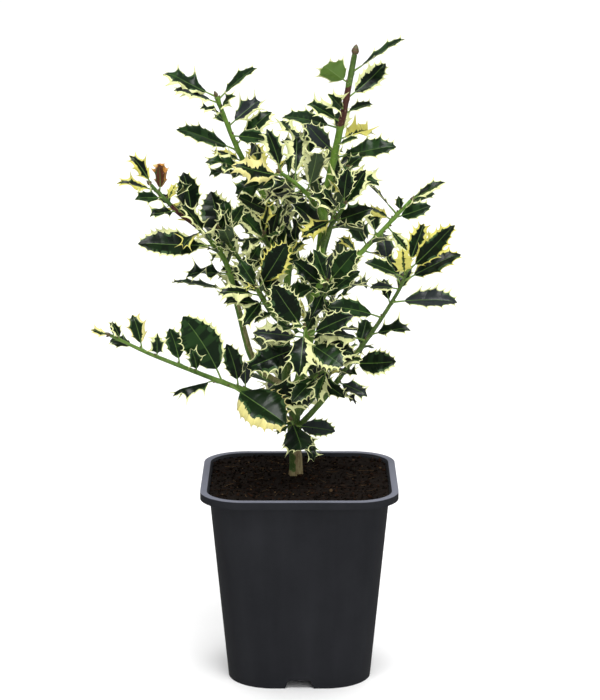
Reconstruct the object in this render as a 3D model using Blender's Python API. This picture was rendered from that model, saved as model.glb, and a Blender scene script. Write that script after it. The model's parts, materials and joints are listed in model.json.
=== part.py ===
"""A young variegated holly in a square nursery pot.

Metres, +Z up, with the origin under the middle of the pot. Limbs and leaves are
planned first, in millimetres, and every leaf then gets a place that is clear of
the rest before any solid is made.
"""

import math
import random

import bmesh
import bpy
from mathutils import Matrix, Vector
from mathutils.bvhtree import BVHTree

MM = 0.001
GAP = 0.3
SEED = 7

# Pot, in millimetres: half widths across the flats, corner radii and heights
POT_HEIGHT = 163.5
RIM_HALF = 80.0
RIM_CORNER = 35.0
RIM_WIDTH = 5.3
LIP_HEIGHT = 6.2
LIP_WALL = 1.6
FOOT_HALF = 58.5
FOOT_CORNER = 38.0
BODY_HALF = 72.6
BODY_CORNER = 32.0
WALL = 1.6
FLOOR_UNDER = 8.0
PAD_RADIUS = 15.0
CORNER_STEPS = 6
NOTCH_WIDTH = 24.0
NOTCH_TOP = 18.4
NOTCH_HEIGHT = 7.2
DRAIN_RADIUS = 5.0
DRAIN_REACH = 36.0
SOIL_TOP = 161.0

# Limbs
TRUNK_SIDES = 10
BOUGH_SIDES = 8
STEM_SIDES = 4
RING_STEP = 17.0
SEAT_STEPS = 6
FLARE = 1.1
FLARE_REACH = 9.0

# Leaves
PETIOLE = 0.20
WIDTH_SHARE = (0.43, 0.57)
ARCH = (0.05, 0.12)
SPINES = (0.22, 0.68)
VALLEYS = (0.45,)
LONG_SPINES = (0.14, 0.40, 0.70)
LONG_VALLEYS = (0.27, 0.55)
LONG_LEAF = 46.0
SPINE_OUT = 1.14
VALLEY_IN = 0.88
WAVE = 0.06
FOLD = 0.22
RIB_SHARE = 0.011
GOLDEN_TURN = math.radians(137.5)
CLEARANCE = 0.7
TRIES = 5

# One entry for each limb. It grows from its parent at a share of the parent's
# length, through the points given, from its foot radius to its tip radius, and
# is bare wood up to the share where its foliage begins. Leaves that set the
# outline are aimed: a share along the limb, the leaf's tip, the angle that its
# face leans from the sky towards the front, and for some the width of the blade
# as a share of its length. The rest follow the rule.
LIMBS = {
    "leader": dict(
        through=[(2, 12, SOIL_TOP + GAP), (-5, 8, 190), (-1, 4, 235), (8, 4, 280), (17, 6, 350),
                 (21, 5, 393), (35, 0, 462), (44, -2, 511)],
        foot=5.2, tip=2.2, bare=0.745, leaves=3, length=28,
        aimed=[(0.955, (82, -10, 524), 12, 0.40), (0.93, (19, -16, 503), -62, 0.94),
               (0.895, (69, 10, 502), 65), (0.86, (59, 14, 469), 20), (0.84, (7, -6, 472), 45, 0.62),
               (0.87, (24, -20, 480), 70, 0.60), (0.826, (-14, 5, 460), 28), (0.757, (77, -8, 438), 40),
               (0.80, (58, 32, 445), 45), (0.77, (6, -14, 456), 75), (0.785, (46, -22, 446), 45, 0.36)],
    ),
    "upright": dict(
        parent="leader", at=0.155, foot=4.0, tip=1.6, bare=0.50, leaves=11, length=36,
        through=[(-10, 13, 232), (-11, 17, 265), (-11, 20, 307), (-9, 18, 349), (-20, 12, 379),
                 (-36, 5, 408), (-51, -2, 438), (-66, -8, 478)],
        aimed=[(0.995, (-106, -10, 498), 35), (0.975, (-97, -24, 484), 22), (0.985, (-34, -2, 500), 14),
               (0.96, (-52, -26, 480), 60), (0.94, (-77, -24, 471), 35), (0.90, (-31, 8, 473), 45),
               (0.87, (-26, -22, 444), 60), (0.82, (-97, -14, 453), 28), (0.755, (-72, -28, 430), 50),
               (0.84, (-22, 14, 463), 35), (0.60, (-50, -10, 398), 55), (0.56, (-42, 8, 384), 60)],
    ),
    "left": dict(
        parent="leader", at=0.20, foot=3.4, tip=1.3, bare=0.44, leaves=5, length=34,
        through=[(-35, -7, 258), (-49, -16, 306), (-59, -20, 346), (-80, -25, 374), (-96, -28, 387),
                 (-108, -30, 400), (-118, -33, 411)],
        aimed=[(0.99, (-133, -34, 434), 60), (0.97, (-143, -38, 414), 35), (0.93, (-128, -46, 402), 45),
               (0.95, (-111, -30, 426), 60, 0.66), (0.91, (-98, -28, 410), 70), (0.86, (-117, -46, 389), 40),
               (0.79, (-92, -24, 419), 60, 0.56), (0.72, (-93, -40, 396), 50, 0.32),
               (0.67, (-127, -46, 366), 45, 0.50), (0.62, (-71, -6, 401), 74, 0.60),
               (0.55, (-88, -46, 342), 30), (0.48, (-103, -10, 329), 4, 0.34)],
    ),
    "inner_left": dict(
        parent="upright", at=0.24, foot=2.6, tip=1.4, bare=0.40, leaves=7, length=34,
        through=[(-25, 0, 304), (-40, -10, 334), (-56, -20, 360), (-64, -26, 375)],
        aimed=[(0.93, (-44, -32, 394), 45), (0.62, (-32, -36, 362), 75), (0.97, (-58, -40, 388), 80)],
    ),
    "low_right": dict(
        parent="leader", at=0.11, foot=2.5, tip=1.2, bare=0.24, leaves=2, length=32,
        through=[(17, -8, 227), (30, -15, 246), (46, -24, 272), (59, -31, 292), (72, -36, 314),
                 (81, -40, 331), (86, -42, 346)],
        aimed=[(1.0, (99, -30, 379), 65, 0.46), (0.976, (117, -50, 388), 50, 0.40),
               (0.96, (81, -58, 363), 60, 0.56), (0.925, (128, -34, 356), 38, 0.50),
               (0.943, (52, -52, 352), 40, 0.46), (0.905, (70, -18, 352), 50),
               (0.885, (56, -44, 330), 35, 0.50), (0.81, (125, -50, 320), 42, 0.42),
               (0.72, (22, -52, 316), 45), (0.62, (86, -56, 300), 35), (0.58, (12, -54, 294), 30),
               (0.44, (77, -40, 269), 66, 0.62), (0.32, (54, -36, 241), 45), (0.27, (9, 2, 252), 60)],
    ),
    "mid_right": dict(
        parent="leader", at=0.455, foot=2.5, tip=1.4, bare=0.24, leaves=4, length=34,
        through=[(40, 15, 338), (52, 22, 348), (68, 30, 363), (80, 35, 375), (92, 40, 387)],
        aimed=[(0.995, (119, 40, 402), 35, 0.44), (0.80, (107, 28, 384), 62, 0.54),
               (0.77, (56, 36, 380), 45), (0.83, (43, 34, 411), 0, 0.30), (0.48, (42, 4, 377), 68, 0.54),
               (0.64, (71, 16, 343), 66, 0.80), (0.32, (38, 0, 326), 55), (0.38, (33, 30, 358), 40),
               (0.87, (81, 30, 391), 60), (0.71, (82, 18, 342), 60, 0.42)],
    ),
    "low_left": dict(
        parent="leader", at=0.125, foot=2.7, tip=1.2, bare=0.26, leaves=2, length=26,
        through=[(-30, -22, 235), (-54, -36, 248), (-91, -50, 266), (-126, -56, 282), (-140, -58, 290),
                 (-150, -60, 295)],
        aimed=[(0.45, (-92, -52, 308), 75, 0.60), (0.41, (-10, -70, 225), 62, 0.78),
               (0.475, (-101, -60, 249), 4, 0.40), (0.29, (11, -26, 233), 62, 0.62),
               (0.58, (-86, -60, 284), 50), (0.66, (-103, -50, 298), 55), (0.77, (-112, -70, 297), 60),
               (0.84, (-132, -52, 310), 65), (0.95, (-147, -66, 306), 50), (0.995, (-164, -62, 300), 45),
               (0.33, (-44, -26, 266), -60), (0.365, (-58, -40, 283), 45)],
    ),
    "front": dict(
        parent="leader", at=0.26, foot=2.6, tip=1.4, bare=0.45, leaves=5, length=38,
        through=[(6, -26, 274), (6, -52, 290), (4, -68, 304)],
        aimed=[(0.66, (34, -70, 272), 58, 0.66), (0.90, (-20, -78, 338), 75), (0.80, (42, -66, 312), 55),
               (0.76, (-36, -62, 298), 60), (0.97, (0, -92, 270), 48, 0.60), (0.60, (-40, -66, 270), 70),
               (0.54, (44, -46, 277), 50, 0.60)],
    ),
    "front_left": dict(
        parent="upright", at=0.30, foot=2.4, tip=1.3, bare=0.40, leaves=7, length=38,
        through=[(-18, -14, 304), (-28, -36, 318), (-34, -54, 332)],
        aimed=[(0.95, (-10, -60, 368), 75), (0.75, (-44, -64, 304), 60), (0.60, (-60, -38, 318), 45)],
    ),
    "front_right": dict(
        parent="leader", at=0.55, foot=2.2, tip=1.2, bare=0.0, leaves=6, length=36,
        through=[(26, -14, 376), (32, -34, 388), (36, -48, 398)],
        aimed=[(0.45, (57, -36, 392), 70), (0.80, (52, -46, 424), 65), (0.55, (2, -44, 372), 60)],
    ),
    "heart": dict(
        parent="leader", at=0.61, foot=2.4, tip=1.2, bare=0.0, leaves=8, length=36,
        through=[(9, -8, 396), (-4, -20, 410), (-16, -28, 420)],
        aimed=[(0.97, (-26, -34, 454), 70), (0.80, (-52, -24, 404), 40), (0.45, (14, -30, 438), -70),
               (0.90, (-48, -34, 442), 65), (0.70, (-2, 8, 446), 50)],
    ),
    "high_right": dict(
        parent="leader", at=0.68, foot=2.0, tip=1.2, bare=0.0, leaves=4, length=32,
        through=[(32, -8, 414), (38, -18, 422)],
        aimed=[(0.60, (50, -12, 430), 50), (0.90, (54, -46, 414), 45)],
    ),
    "mid_left": dict(
        parent="upright", at=0.46, foot=2.2, tip=1.2, bare=0.0, leaves=9, length=38,
        through=[(-18, 2, 342), (-24, -12, 356), (-28, -24, 370)],
        aimed=[(0.90, (-47, -6, 352), 50)],
    ),
    "mid_front": dict(
        parent="leader", at=0.40, foot=2.2, tip=1.2, bare=0.0, leaves=8, length=38,
        through=[(16, -14, 312), (20, -32, 324), (22, -48, 336)],
        aimed=[(0.90, (44, -58, 362), 60), (0.80, (-4, -48, 352), 65)],
    ),
    "back_left": dict(
        parent="leader", at=0.41, foot=2.8, tip=1.3, bare=0.34, leaves=12, length=42,
        through=[(4, 32, 318), (-4, 66, 344), (-14, 106, 376)],
    ),
    "back_right": dict(
        parent="leader", at=0.24, foot=2.8, tip=1.3, bare=0.36, leaves=12, length=42,
        through=[(14, 36, 266), (24, 74, 288), (36, 114, 312)],
    ),
    "back_low": dict(
        parent="leader", at=0.085, foot=2.4, tip=1.3, bare=0.38, leaves=10, length=38,
        through=[(-6, 34, 210), (-14, 64, 222), (-20, 94, 240)],
    ),
    "back_high": dict(
        parent="leader", at=0.60, foot=2.2, tip=1.2, bare=0.0, leaves=10, length=38,
        through=[(16, 26, 398), (8, 54, 414), (2, 82, 434)],
    ),
    "back_mid_left": dict(
        parent="upright", at=0.42, foot=2.4, tip=1.3, bare=0.36, leaves=10, length=38,
        through=[(-20, 40, 328), (-32, 64, 340), (-44, 90, 354)],
    ),
    "back_mid_right": dict(
        parent="leader", at=0.50, foot=2.2, tip=1.2, bare=0.30, leaves=10, length=36,
        through=[(26, 28, 368), (30, 56, 386), (34, 86, 404)],
    ),
    "low_mid": dict(
        parent="leader", at=0.225, foot=2.2, tip=1.2, bare=0.0, leaves=5, length=34,
        through=[(12, -10, 250), (20, -24, 258), (26, -36, 264)],
        aimed=[(0.80, (14, -46, 238), 60), (0.50, (-6, -42, 236), 65)],
    ),
    "low_front": dict(
        parent="leader", at=0.12, foot=1.6, tip=1.1, bare=0.0, leaves=0, length=30,
        through=[(-6, -7, 210), (-7, -13, 215)],
        aimed=[(0.95, (2, -44, 198), 40, 0.86), (0.10, (29, -18, 206), 55, 0.50),
               (0.50, (24, -24, 193), 15, 0.44)],
    ),
    "low_back": dict(
        parent="leader", at=0.145, foot=2.2, tip=1.2, bare=0.0, leaves=8, length=36,
        through=[(14, 20, 228), (26, 38, 242), (36, 54, 258)],
    ),
}

COLOURS = {
    "pot": (0.022, 0.023, 0.026),
    "soil": (0.018, 0.011, 0.008),
    "trunk": (0.16, 0.17, 0.07),
    "bough": (0.10, 0.19, 0.05),
    "foliage": (0.05, 0.12, 0.04),
}


def clear_scene():
    for old in list(bpy.data.objects):
        bpy.data.objects.remove(old)


def finish_material(name, colour, roughness):
    """A plain material for one kind of sub-part."""
    material = bpy.data.materials.new(name)
    material.use_nodes = True
    shader = material.node_tree.nodes["Principled BSDF"]
    shader.inputs["Base Color"].default_value = (*colour, 1.0)
    shader.inputs["Roughness"].default_value = roughness
    shader.inputs["Metallic"].default_value = 0.0
    return material


def new_object(name, mesh, material, smooth=None):
    """Link a mesh as a named object, shaded smooth where an angle is given."""
    item = bpy.data.objects.new(name, mesh)
    bpy.context.scene.collection.objects.link(item)
    mesh.materials.clear()
    mesh.materials.append(material)
    if smooth is not None:
        mesh.shade_smooth()
        mesh.set_sharp_from_angle(angle=smooth)
    return item


def skin(bm, rings):
    """Skin one closed solid over rings of equal length. A ring of one point ends it."""
    loops = [[bm.verts.new(point * MM) for point in ring] for ring in rings]
    bm.faces.new(list(reversed(loops[0])))
    for low, high in zip(loops, loops[1:]):
        for i, corner in enumerate(low):
            after = low[(i + 1) % len(low)]
            if len(high) == 1:
                bm.faces.new((corner, after, high[0]))
            else:
                bm.faces.new((corner, after, high[(i + 1) % len(low)], high[i]))
    if len(loops[-1]) > 1:
        bm.faces.new(loops[-1])


def mesh_from(name, ring_sets):
    """One mesh of closed solids, a set of rings for each."""
    bm = bmesh.new()
    for rings in ring_sets:
        skin(bm, rings)
    bmesh.ops.triangulate(bm, faces=[face for face in bm.faces if len(face.verts) > 4])
    bmesh.ops.recalc_face_normals(bm, faces=bm.faces)
    mesh = bpy.data.meshes.new(name)
    bm.to_mesh(mesh)
    bm.free()
    return mesh


# Pot and soil


def rounded_square(half, corner, height):
    """The points of a square with round corners, anticlockwise from above."""
    points = []
    for quarter in range(4):
        turn = quarter * math.pi / 2
        centre = Matrix.Rotation(turn, 3, "Z") @ Vector((half - corner, half - corner, 0))
        for step in range(CORNER_STEPS + 1):
            angle = turn + step / CORNER_STEPS * math.pi / 2
            offset = Vector((math.cos(angle), math.sin(angle), 0)) * corner
            points.append(centre + offset + Vector((0, 0, height)))
    return points


def body_at(height, inset=0.0):
    """Half width and corner radius of the tapering body at a height."""
    share = height / (POT_HEIGHT - LIP_HEIGHT)
    half = FOOT_HALF + (BODY_HALF - FOOT_HALF) * share - inset
    corner = FOOT_CORNER + (BODY_CORNER - FOOT_CORNER) * share - inset
    return half, corner


def pot_rings():
    """Rings from under the middle, out over the foot, up, over the lip and down inside."""
    lip_under = POT_HEIGHT - LIP_HEIGHT
    inner_half = RIM_HALF - RIM_WIDTH
    inner_corner = RIM_CORNER - RIM_WIDTH
    floor_top = FLOOR_UNDER + WALL
    foot_in, foot_in_corner = body_at(0, WALL)
    under_in, under_in_corner = body_at(FLOOR_UNDER, WALL)
    neck, neck_corner = body_at(lip_under)
    shelf = POT_HEIGHT - LIP_WALL
    throat, throat_corner = body_at(lip_under, WALL)
    bowl, bowl_corner = body_at(floor_top, WALL)
    return [
        rounded_square(PAD_RADIUS, PAD_RADIUS, 0),
        rounded_square(PAD_RADIUS, PAD_RADIUS, FLOOR_UNDER),
        rounded_square(under_in, under_in_corner, FLOOR_UNDER),
        rounded_square(foot_in, foot_in_corner, 0),
        rounded_square(*body_at(0), 0),
        rounded_square(neck, neck_corner, lip_under),
        rounded_square(neck + WALL, neck_corner + WALL, shelf),
        rounded_square(RIM_HALF - LIP_WALL, RIM_CORNER - LIP_WALL, shelf),
        rounded_square(RIM_HALF - LIP_WALL, RIM_CORNER - LIP_WALL, lip_under),
        rounded_square(RIM_HALF, RIM_CORNER, lip_under),
        rounded_square(RIM_HALF, RIM_CORNER, POT_HEIGHT),
        rounded_square(inner_half, inner_corner, POT_HEIGHT),
        rounded_square(throat, throat_corner, lip_under),
        rounded_square(bowl, bowl_corner, floor_top),
    ]


def notch_rings():
    """Wedges that open the foot in the middle of each side, clear of the pad."""
    wedges = []
    for quarter in range(4):
        turn = Matrix.Rotation(quarter * math.pi / 2, 3, "Z")
        rings = []
        for reach in (FOOT_HALF - 3 * WALL, FOOT_HALF + 3 * WALL):
            corners = ((-NOTCH_WIDTH / 2, -1), (NOTCH_WIDTH / 2, -1),
                       (NOTCH_TOP / 2, NOTCH_HEIGHT), (-NOTCH_TOP / 2, NOTCH_HEIGHT))
            rings.append([turn @ Vector((x, -reach, z)) for x, z in corners])
        wedges.append(rings)
    return wedges


def drain_rings():
    """Round drain holes through the floor, one towards each corner."""
    holes = []
    for quarter in range(4):
        turn = Matrix.Rotation((quarter + 0.5) * math.pi / 2, 3, "Z")
        middle = turn @ Vector((DRAIN_REACH, 0, 0))
        rings = []
        for height in (FLOOR_UNDER - WALL, FLOOR_UNDER + 2 * WALL):
            ring = []
            for step in range(12):
                angle = step / 12 * math.tau
                spoke = Vector((math.cos(angle), math.sin(angle), 0)) * DRAIN_RADIUS
                ring.append(middle + spoke + Vector((0, 0, height)))
            rings.append(ring)
        holes.append(rings)
    return holes


def make_pot():
    material = finish_material("pot_plastic", COLOURS["pot"], 0.45)
    cutter_mesh = mesh_from("pot_openings", notch_rings() + drain_rings())
    cutter = new_object("pot_openings", cutter_mesh, material)
    cutter.hide_render = True
    cutter.display_type = "WIRE"
    pot = new_object("pot", mesh_from("pot", [pot_rings()]), material, math.radians(35))
    cut = pot.modifiers.new("openings", "BOOLEAN")
    cut.operation = "DIFFERENCE"
    cut.solver = "EXACT"
    cut.object = cutter


def make_soil():
    """Soil fills the pot from its floor to just under the rim."""
    floor = FLOOR_UNDER + WALL + GAP
    lip_under = POT_HEIGHT - LIP_HEIGHT
    throat, throat_corner = body_at(lip_under, WALL + GAP)
    share = (SOIL_TOP - lip_under) / LIP_HEIGHT
    top = throat + (RIM_HALF - RIM_WIDTH - GAP - throat) * share
    top_corner = throat_corner + (RIM_CORNER - RIM_WIDTH - GAP - throat_corner) * share
    rings = [
        rounded_square(*body_at(floor, WALL + GAP), floor),
        rounded_square(throat, throat_corner, lip_under),
        rounded_square(top, top_corner, SOIL_TOP),
    ]
    new_object("soil", mesh_from("soil", [rings]), finish_material("peat", COLOURS["soil"], 1.0))


# Limbs


def smooth_path(points, step=RING_STEP):
    """Evenly spaced points on a smooth curve through the given ones."""
    ends = [points[0] * 2 - points[1], *points, points[-1] * 2 - points[-2]]
    fine = []
    for a, b, c, d in zip(ends, ends[1:], ends[2:], ends[3:]):
        for k in range(12):
            t = k / 12
            fine.append(0.5 * (2 * b + (c - a) * t + (2 * a - 5 * b + 4 * c - d) * t * t
                               + (3 * b - 3 * c + d - a) * t ** 3))
    fine.append(points[-1])
    lengths = [0.0]
    for a, b in zip(fine, fine[1:]):
        lengths.append(lengths[-1] + (b - a).length)
    count = max(4, round(lengths[-1] / step))
    path = []
    k = 0
    for i in range(count + 1):
        goal = lengths[-1] * i / count
        while k < len(fine) - 2 and lengths[k + 1] < goal:
            k += 1
        share = (goal - lengths[k]) / (lengths[k + 1] - lengths[k])
        path.append(fine[k].lerp(fine[k + 1], share))
    return path


def along(path, share):
    """The point and the direction at a share of a path's length."""
    place = min(max(share, 0.0), 1.0) * (len(path) - 1)
    k = min(int(place), len(path) - 2)
    point = path[k].lerp(path[k + 1], place - k)
    before = path[max(k - 1, 0)] if place - k < 0.5 else path[k]
    after = path[k + 1] if place - k < 0.5 else path[min(k + 2, len(path) - 1)]
    return point, (after - before).normalized()


def radius_at(limb, share):
    """A limb tapers all along, and the trunk also flares out at its foot."""
    radius = limb["foot"] + (limb["tip"] - limb["foot"]) * share
    if limb.get("parent") is None:
        radius += FLARE * math.exp(-share * limb["span"] / FLARE_REACH)
    return radius


def tube_rings(limb, start, end, sides):
    """Rings round a limb from one share of its length to another."""
    count = max(2, round((end - start) * limb["span"] / RING_STEP))
    side = Vector((1, 0, 0))
    rings = []
    for i in range(count + 1):
        share = start + (end - start) * i / count
        centre, direction = along(limb["path"], share)
        side = (side - direction * side.dot(direction)).normalized()
        other = direction.cross(side)
        radius = radius_at(limb, share)
        turns = [k / sides * math.tau for k in range(sides)]
        rings.append([centre + (side * math.cos(a) + other * math.sin(a)) * radius for a in turns])
    if start == 0 and "seat" in limb:
        spot, square = limb["seat"]
        _, direction = along(limb["path"], 0)
        slope = direction.dot(square)
        rings[0] = [p - direction * ((p - spot).dot(square) / slope) for p in rings[0]]
    return rings


def seat_height(bearer, share, square, reach):
    """How far a limb's parent stands out towards it within reach of its foot."""
    root, _ = along(bearer["path"], share)
    heights = []
    for k in range(-SEAT_STEPS, SEAT_STEPS + 1):
        near = share + 1.5 * reach * k / SEAT_STEPS / bearer["span"]
        heights.append((along(bearer["path"], near)[0] - root).dot(square) + radius_at(bearer, near))
    return max(heights)


def plan_limbs():
    """Work out each limb's path, and seat its foot on a slanted cut clear of its parent."""
    limbs = {}
    for name, given in LIMBS.items():
        parent = given.get("parent")
        points = [Vector(point) for point in given["through"]]
        if parent is not None:
            bearer = limbs[parent]
            root, direction = along(bearer["path"], given["at"])
            out = (points[0] - root).normalized()
            square = (out - direction * out.dot(direction)).normalized()
            clear = seat_height(bearer, given["at"], square, given["foot"] / out.dot(square)) + GAP
            points.insert(0, root + out * (clear / out.dot(square)))
            seat = dict(seat=(points[0], square))
        else:
            seat = {}
        path = smooth_path(points)
        span = (path[1] - path[0]).length * (len(path) - 1)
        limbs[name] = dict(given, **seat, name=name, parent=parent, path=path, span=span)
    flatten_foot(limbs["leader"])
    return limbs


def flatten_foot(limb):
    """Start the trunk straight up, so that its first ring is its flat cut."""
    limb["path"][0] = Vector((limb["path"][1].x, limb["path"][1].y, limb["path"][0].z))
    rise = limb["path"][1] - limb["path"][0]
    limb["path"][1] = limb["path"][0] + Vector((0, 0, rise.z))


def foliage_start(limb):
    """The share at which a limb's foliage starts, one gap past its bare wood if it has any."""
    return limb["bare"] + GAP / limb["span"] if limb["bare"] else 0.0


# Leaves


def leaf_rings(leaf, swell=0.0, blade_only=False):
    """Rings of a spiny blade on its stalk: left edge, upper rib, right edge, under rib."""
    root, tip, length = leaf["root"], leaf["tip"], (leaf["tip"] - leaf["root"]).length
    half = leaf["width"] / 2
    rib = max(0.4, RIB_SHARE * length)
    bend = root.lerp(tip, 0.45) + leaf["out"] * length * 0.10 + leaf["face"] * length * leaf["arch"]
    stations = [(0.0, 0.0, 0.0), (PETIOLE, 0.0, 0.0)]
    spines, valleys = (LONG_SPINES, LONG_VALLEYS) if length > LONG_LEAF else (SPINES, VALLEYS)
    marks = sorted([(b, SPINE_OUT, WAVE) for b in spines] + [(b, VALLEY_IN, -WAVE) for b in valleys])
    for b, factor, wave in marks:
        oval = math.sin(math.pi * b ** 0.85) ** 0.75
        stations.append((PETIOLE + (1 - PETIOLE) * b, half * oval * factor, wave * half))
    rings = []
    for u, reach, wave in stations[1 if blade_only else 0:]:
        centre = root * (1 - u) ** 2 + bend * 2 * u * (1 - u) + tip * u * u
        direction = ((bend - root) * (1 - u) + (tip - bend) * u).normalized()
        face = (leaf["face"] - direction * leaf["face"].dot(direction)).normalized()
        side = direction.cross(face)
        reach = max(reach, rib) + swell
        lift = face * (FOLD * reach + wave if reach > 2 * rib else 0.0)
        thick = face * (rib + swell)
        rings.append([centre - side * reach + lift, centre - thick,
                      centre + side * reach + lift, centre + thick])
    rings.append([tip])
    return rings


def tree_of(ring_sets):
    """A search tree over the skins of closed solids."""
    points = []
    faces = []
    for rings in ring_sets:
        starts = []
        for ring in rings:
            starts.append(len(points))
            points.extend(ring)
        for low, high, a, b in zip(starts, starts[1:], rings, rings[1:]):
            for i in range(len(a)):
                j = (i + 1) % len(a)
                if len(b) == 1:
                    faces.append((low + i, low + j, high))
                else:
                    faces.append((low + i, low + j, high + j, high + i))
    return BVHTree.FromPolygons(points, faces)


def make_leaf(limb, share, tip, hint, rng, broad=None):
    """A leaf from the limb's axis to a tip, with its face turned to a hint."""
    root, direction = along(limb["path"], share)
    reach = tip - root
    out = reach - direction * reach.dot(direction)
    out.normalize()
    axis = reach.normalized()
    face = (hint - axis * hint.dot(axis)).normalized()
    wide = (broad or rng.uniform(*WIDTH_SHARE)) * reach.length * (1 - PETIOLE)
    return dict(root=root, tip=tip, out=out, face=face, arch=rng.uniform(*ARCH), width=wide)


def aimed_leaves(limb, rng):
    """The leaves with a place of their own, each with the turns it may take."""
    for share, tip, lean, *broad in limb.get("aimed", ()):
        lean = math.radians(lean)
        hint = Vector((0, -math.sin(lean), math.cos(lean)))
        root = along(limb["path"], share)[0]
        reach = Vector(tip) - root
        offers = []
        for k in range(TRIES):
            turn = Matrix.Rotation((-1) ** k * k * 0.16, 3, hint) @ Matrix.Rotation(0.10 * k, 3, "X")
            offers.append(make_leaf(limb, share, root + turn @ reach, hint, rng, *broad))
        yield offers


def rule_leaves(limb, rng):
    """Leaves spaced along the foliage, each a golden turn on from the last."""
    start = limb["bare"]
    phase = rng.uniform(0, math.tau)
    count = limb["leaves"]
    for k in range(count):
        place = (k + rng.uniform(0.4, 0.8)) / count
        share = start + (1 - start) * (0.08 + 0.92 * place)
        root, direction = along(limb["path"], share)
        size = limb["length"] * (1.08 - 0.35 * place ** 3) * rng.uniform(0.86, 1.16)
        spread = math.radians(72 - 40 * place) + rng.uniform(-0.15, 0.15)
        tilt = Vector((rng.uniform(-0.5, 0.5), rng.uniform(-0.9, 0.1), 1))
        offers = []
        for attempt in range(TRIES):
            turn = phase + k * GOLDEN_TURN + (-1) ** attempt * attempt * 0.38
            side = direction.orthogonal().normalized()
            out = Matrix.Rotation(turn, 3, direction) @ side
            way = out * math.sin(spread) + direction * math.cos(spread) + Vector((0, 0, 0.18))
            offers.append(make_leaf(limb, share, root + way.normalized() * size, tilt + direction * 0.4, rng))
        yield offers


def plan_leaves(limbs):
    """Give each leaf the first of its offers that touches nothing else."""
    stems = {}
    for name, limb in limbs.items():
        wood = [tube_rings(limb, 0.0, 1.0, STEM_SIDES)]
        stems[name] = tree_of(wood)
    placed = []
    planned = {name: [] for name in limbs}
    for source in (aimed_leaves, rule_leaves):
        for index, (name, limb) in enumerate(limbs.items()):
            rng = random.Random(SEED * 1000 + index * 10 + (source is rule_leaves))
            for offers in source(limb, rng):
                for leaf in offers:
                    if leaf_is_clear(leaf, name, stems, placed):
                        planned[name].append(leaf)
                        break
    return planned


def leaf_is_clear(leaf, name, stems, placed):
    """Test a swollen copy of a leaf against the wood and the leaves so far."""
    whole = tree_of([leaf_rings(leaf, CLEARANCE)])
    blade = tree_of([leaf_rings(leaf, CLEARANCE, blade_only=True)])
    centre = leaf["root"].lerp(leaf["tip"], 0.5)
    reach = (leaf["tip"] - leaf["root"]).length * 0.62
    low = min(leaf["root"].z, leaf["tip"].z)
    if low < POT_HEIGHT + 4:
        return False
    for other, tree in stems.items():
        if (blade if other == name else whole).overlap(tree):
            return False
    for spot, size, tree, owner in placed:
        if (spot - centre).length < size + reach:
            if (blade if owner == name else whole).overlap(tree):
                return False
    placed.append((centre, reach, blade, name))
    placed.append((centre, reach, whole, None))
    return True


# Solids of the plant


def make_wood(limb, name, sides, material):
    rings = tube_rings(limb, 0.0, limb["bare"], sides)
    new_object(name, mesh_from(name, [rings]), material, math.radians(50))


def make_foliage(limb, leaves, material):
    """Join a limb's leafy end and its leaves into one solid."""
    name = "foliage_" + limb["name"]
    stem = new_object(name, mesh_from(name, [tube_rings(limb, foliage_start(limb), 1.0, STEM_SIDES)]),
                      material)
    fused = bpy.data.collections.new(name + "_leaves")
    bpy.context.scene.collection.children.link(fused)
    for k, leaf in enumerate(leaves):
        blade = bpy.data.objects.new(name + "_leaf", mesh_from(name + "_leaf", [leaf_rings(leaf)]))
        fused.objects.link(blade)
    union = stem.modifiers.new("leaves", "BOOLEAN")
    union.operation = "UNION"
    union.solver = "EXACT"
    union.operand_type = "COLLECTION"
    union.collection = fused
    with bpy.context.temp_override(object=stem, active_object=stem):
        bpy.ops.object.modifier_apply(modifier=union.name)
    for blade in list(fused.objects):
        bpy.data.objects.remove(blade)
    bpy.data.collections.remove(fused)
    drop_scraps(stem.data)


def drop_scraps(mesh):
    """Keep only the largest shell, so no loose scrap or sealed hollow is left."""
    bm = bmesh.new()
    bm.from_mesh(mesh)
    bmesh.ops.triangulate(bm, faces=bm.faces)
    seen = set()
    shells = []
    for first in bm.verts:
        if first in seen:
            continue
        seen.add(first)
        shell = [first]
        for vert in shell:
            for edge in vert.link_edges:
                other = edge.other_vert(vert)
                if other not in seen:
                    seen.add(other)
                    shell.append(other)
        shells.append(shell)
    shells.sort(key=len)
    for shell in shells[:-1]:
        bmesh.ops.delete(bm, geom=shell, context="VERTS")
    bm.to_mesh(mesh)
    bm.free()


def make_plant():
    bark = finish_material("bark", COLOURS["trunk"], 0.8)
    green_wood = finish_material("green_wood", COLOURS["bough"], 0.6)
    leaf_green = finish_material("leaf_green", COLOURS["foliage"], 0.35)
    limbs = plan_limbs()
    planned = plan_leaves(limbs)
    for name, limb in limbs.items():
        if limb["parent"] is None:
            make_wood(limb, "trunk", TRUNK_SIDES, bark)
        elif limb["bare"]:
            make_wood(limb, "bough_" + name, BOUGH_SIDES, green_wood)
        make_foliage(limb, planned[name], leaf_green)


def main():
    clear_scene()
    make_pot()
    make_soil()
    make_plant()


main()
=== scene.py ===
import json
import math
import random

import bmesh
import bpy
import numpy as np
from mathutils import Matrix, Vector, noise
from mathutils.bvhtree import BVHTree

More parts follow.
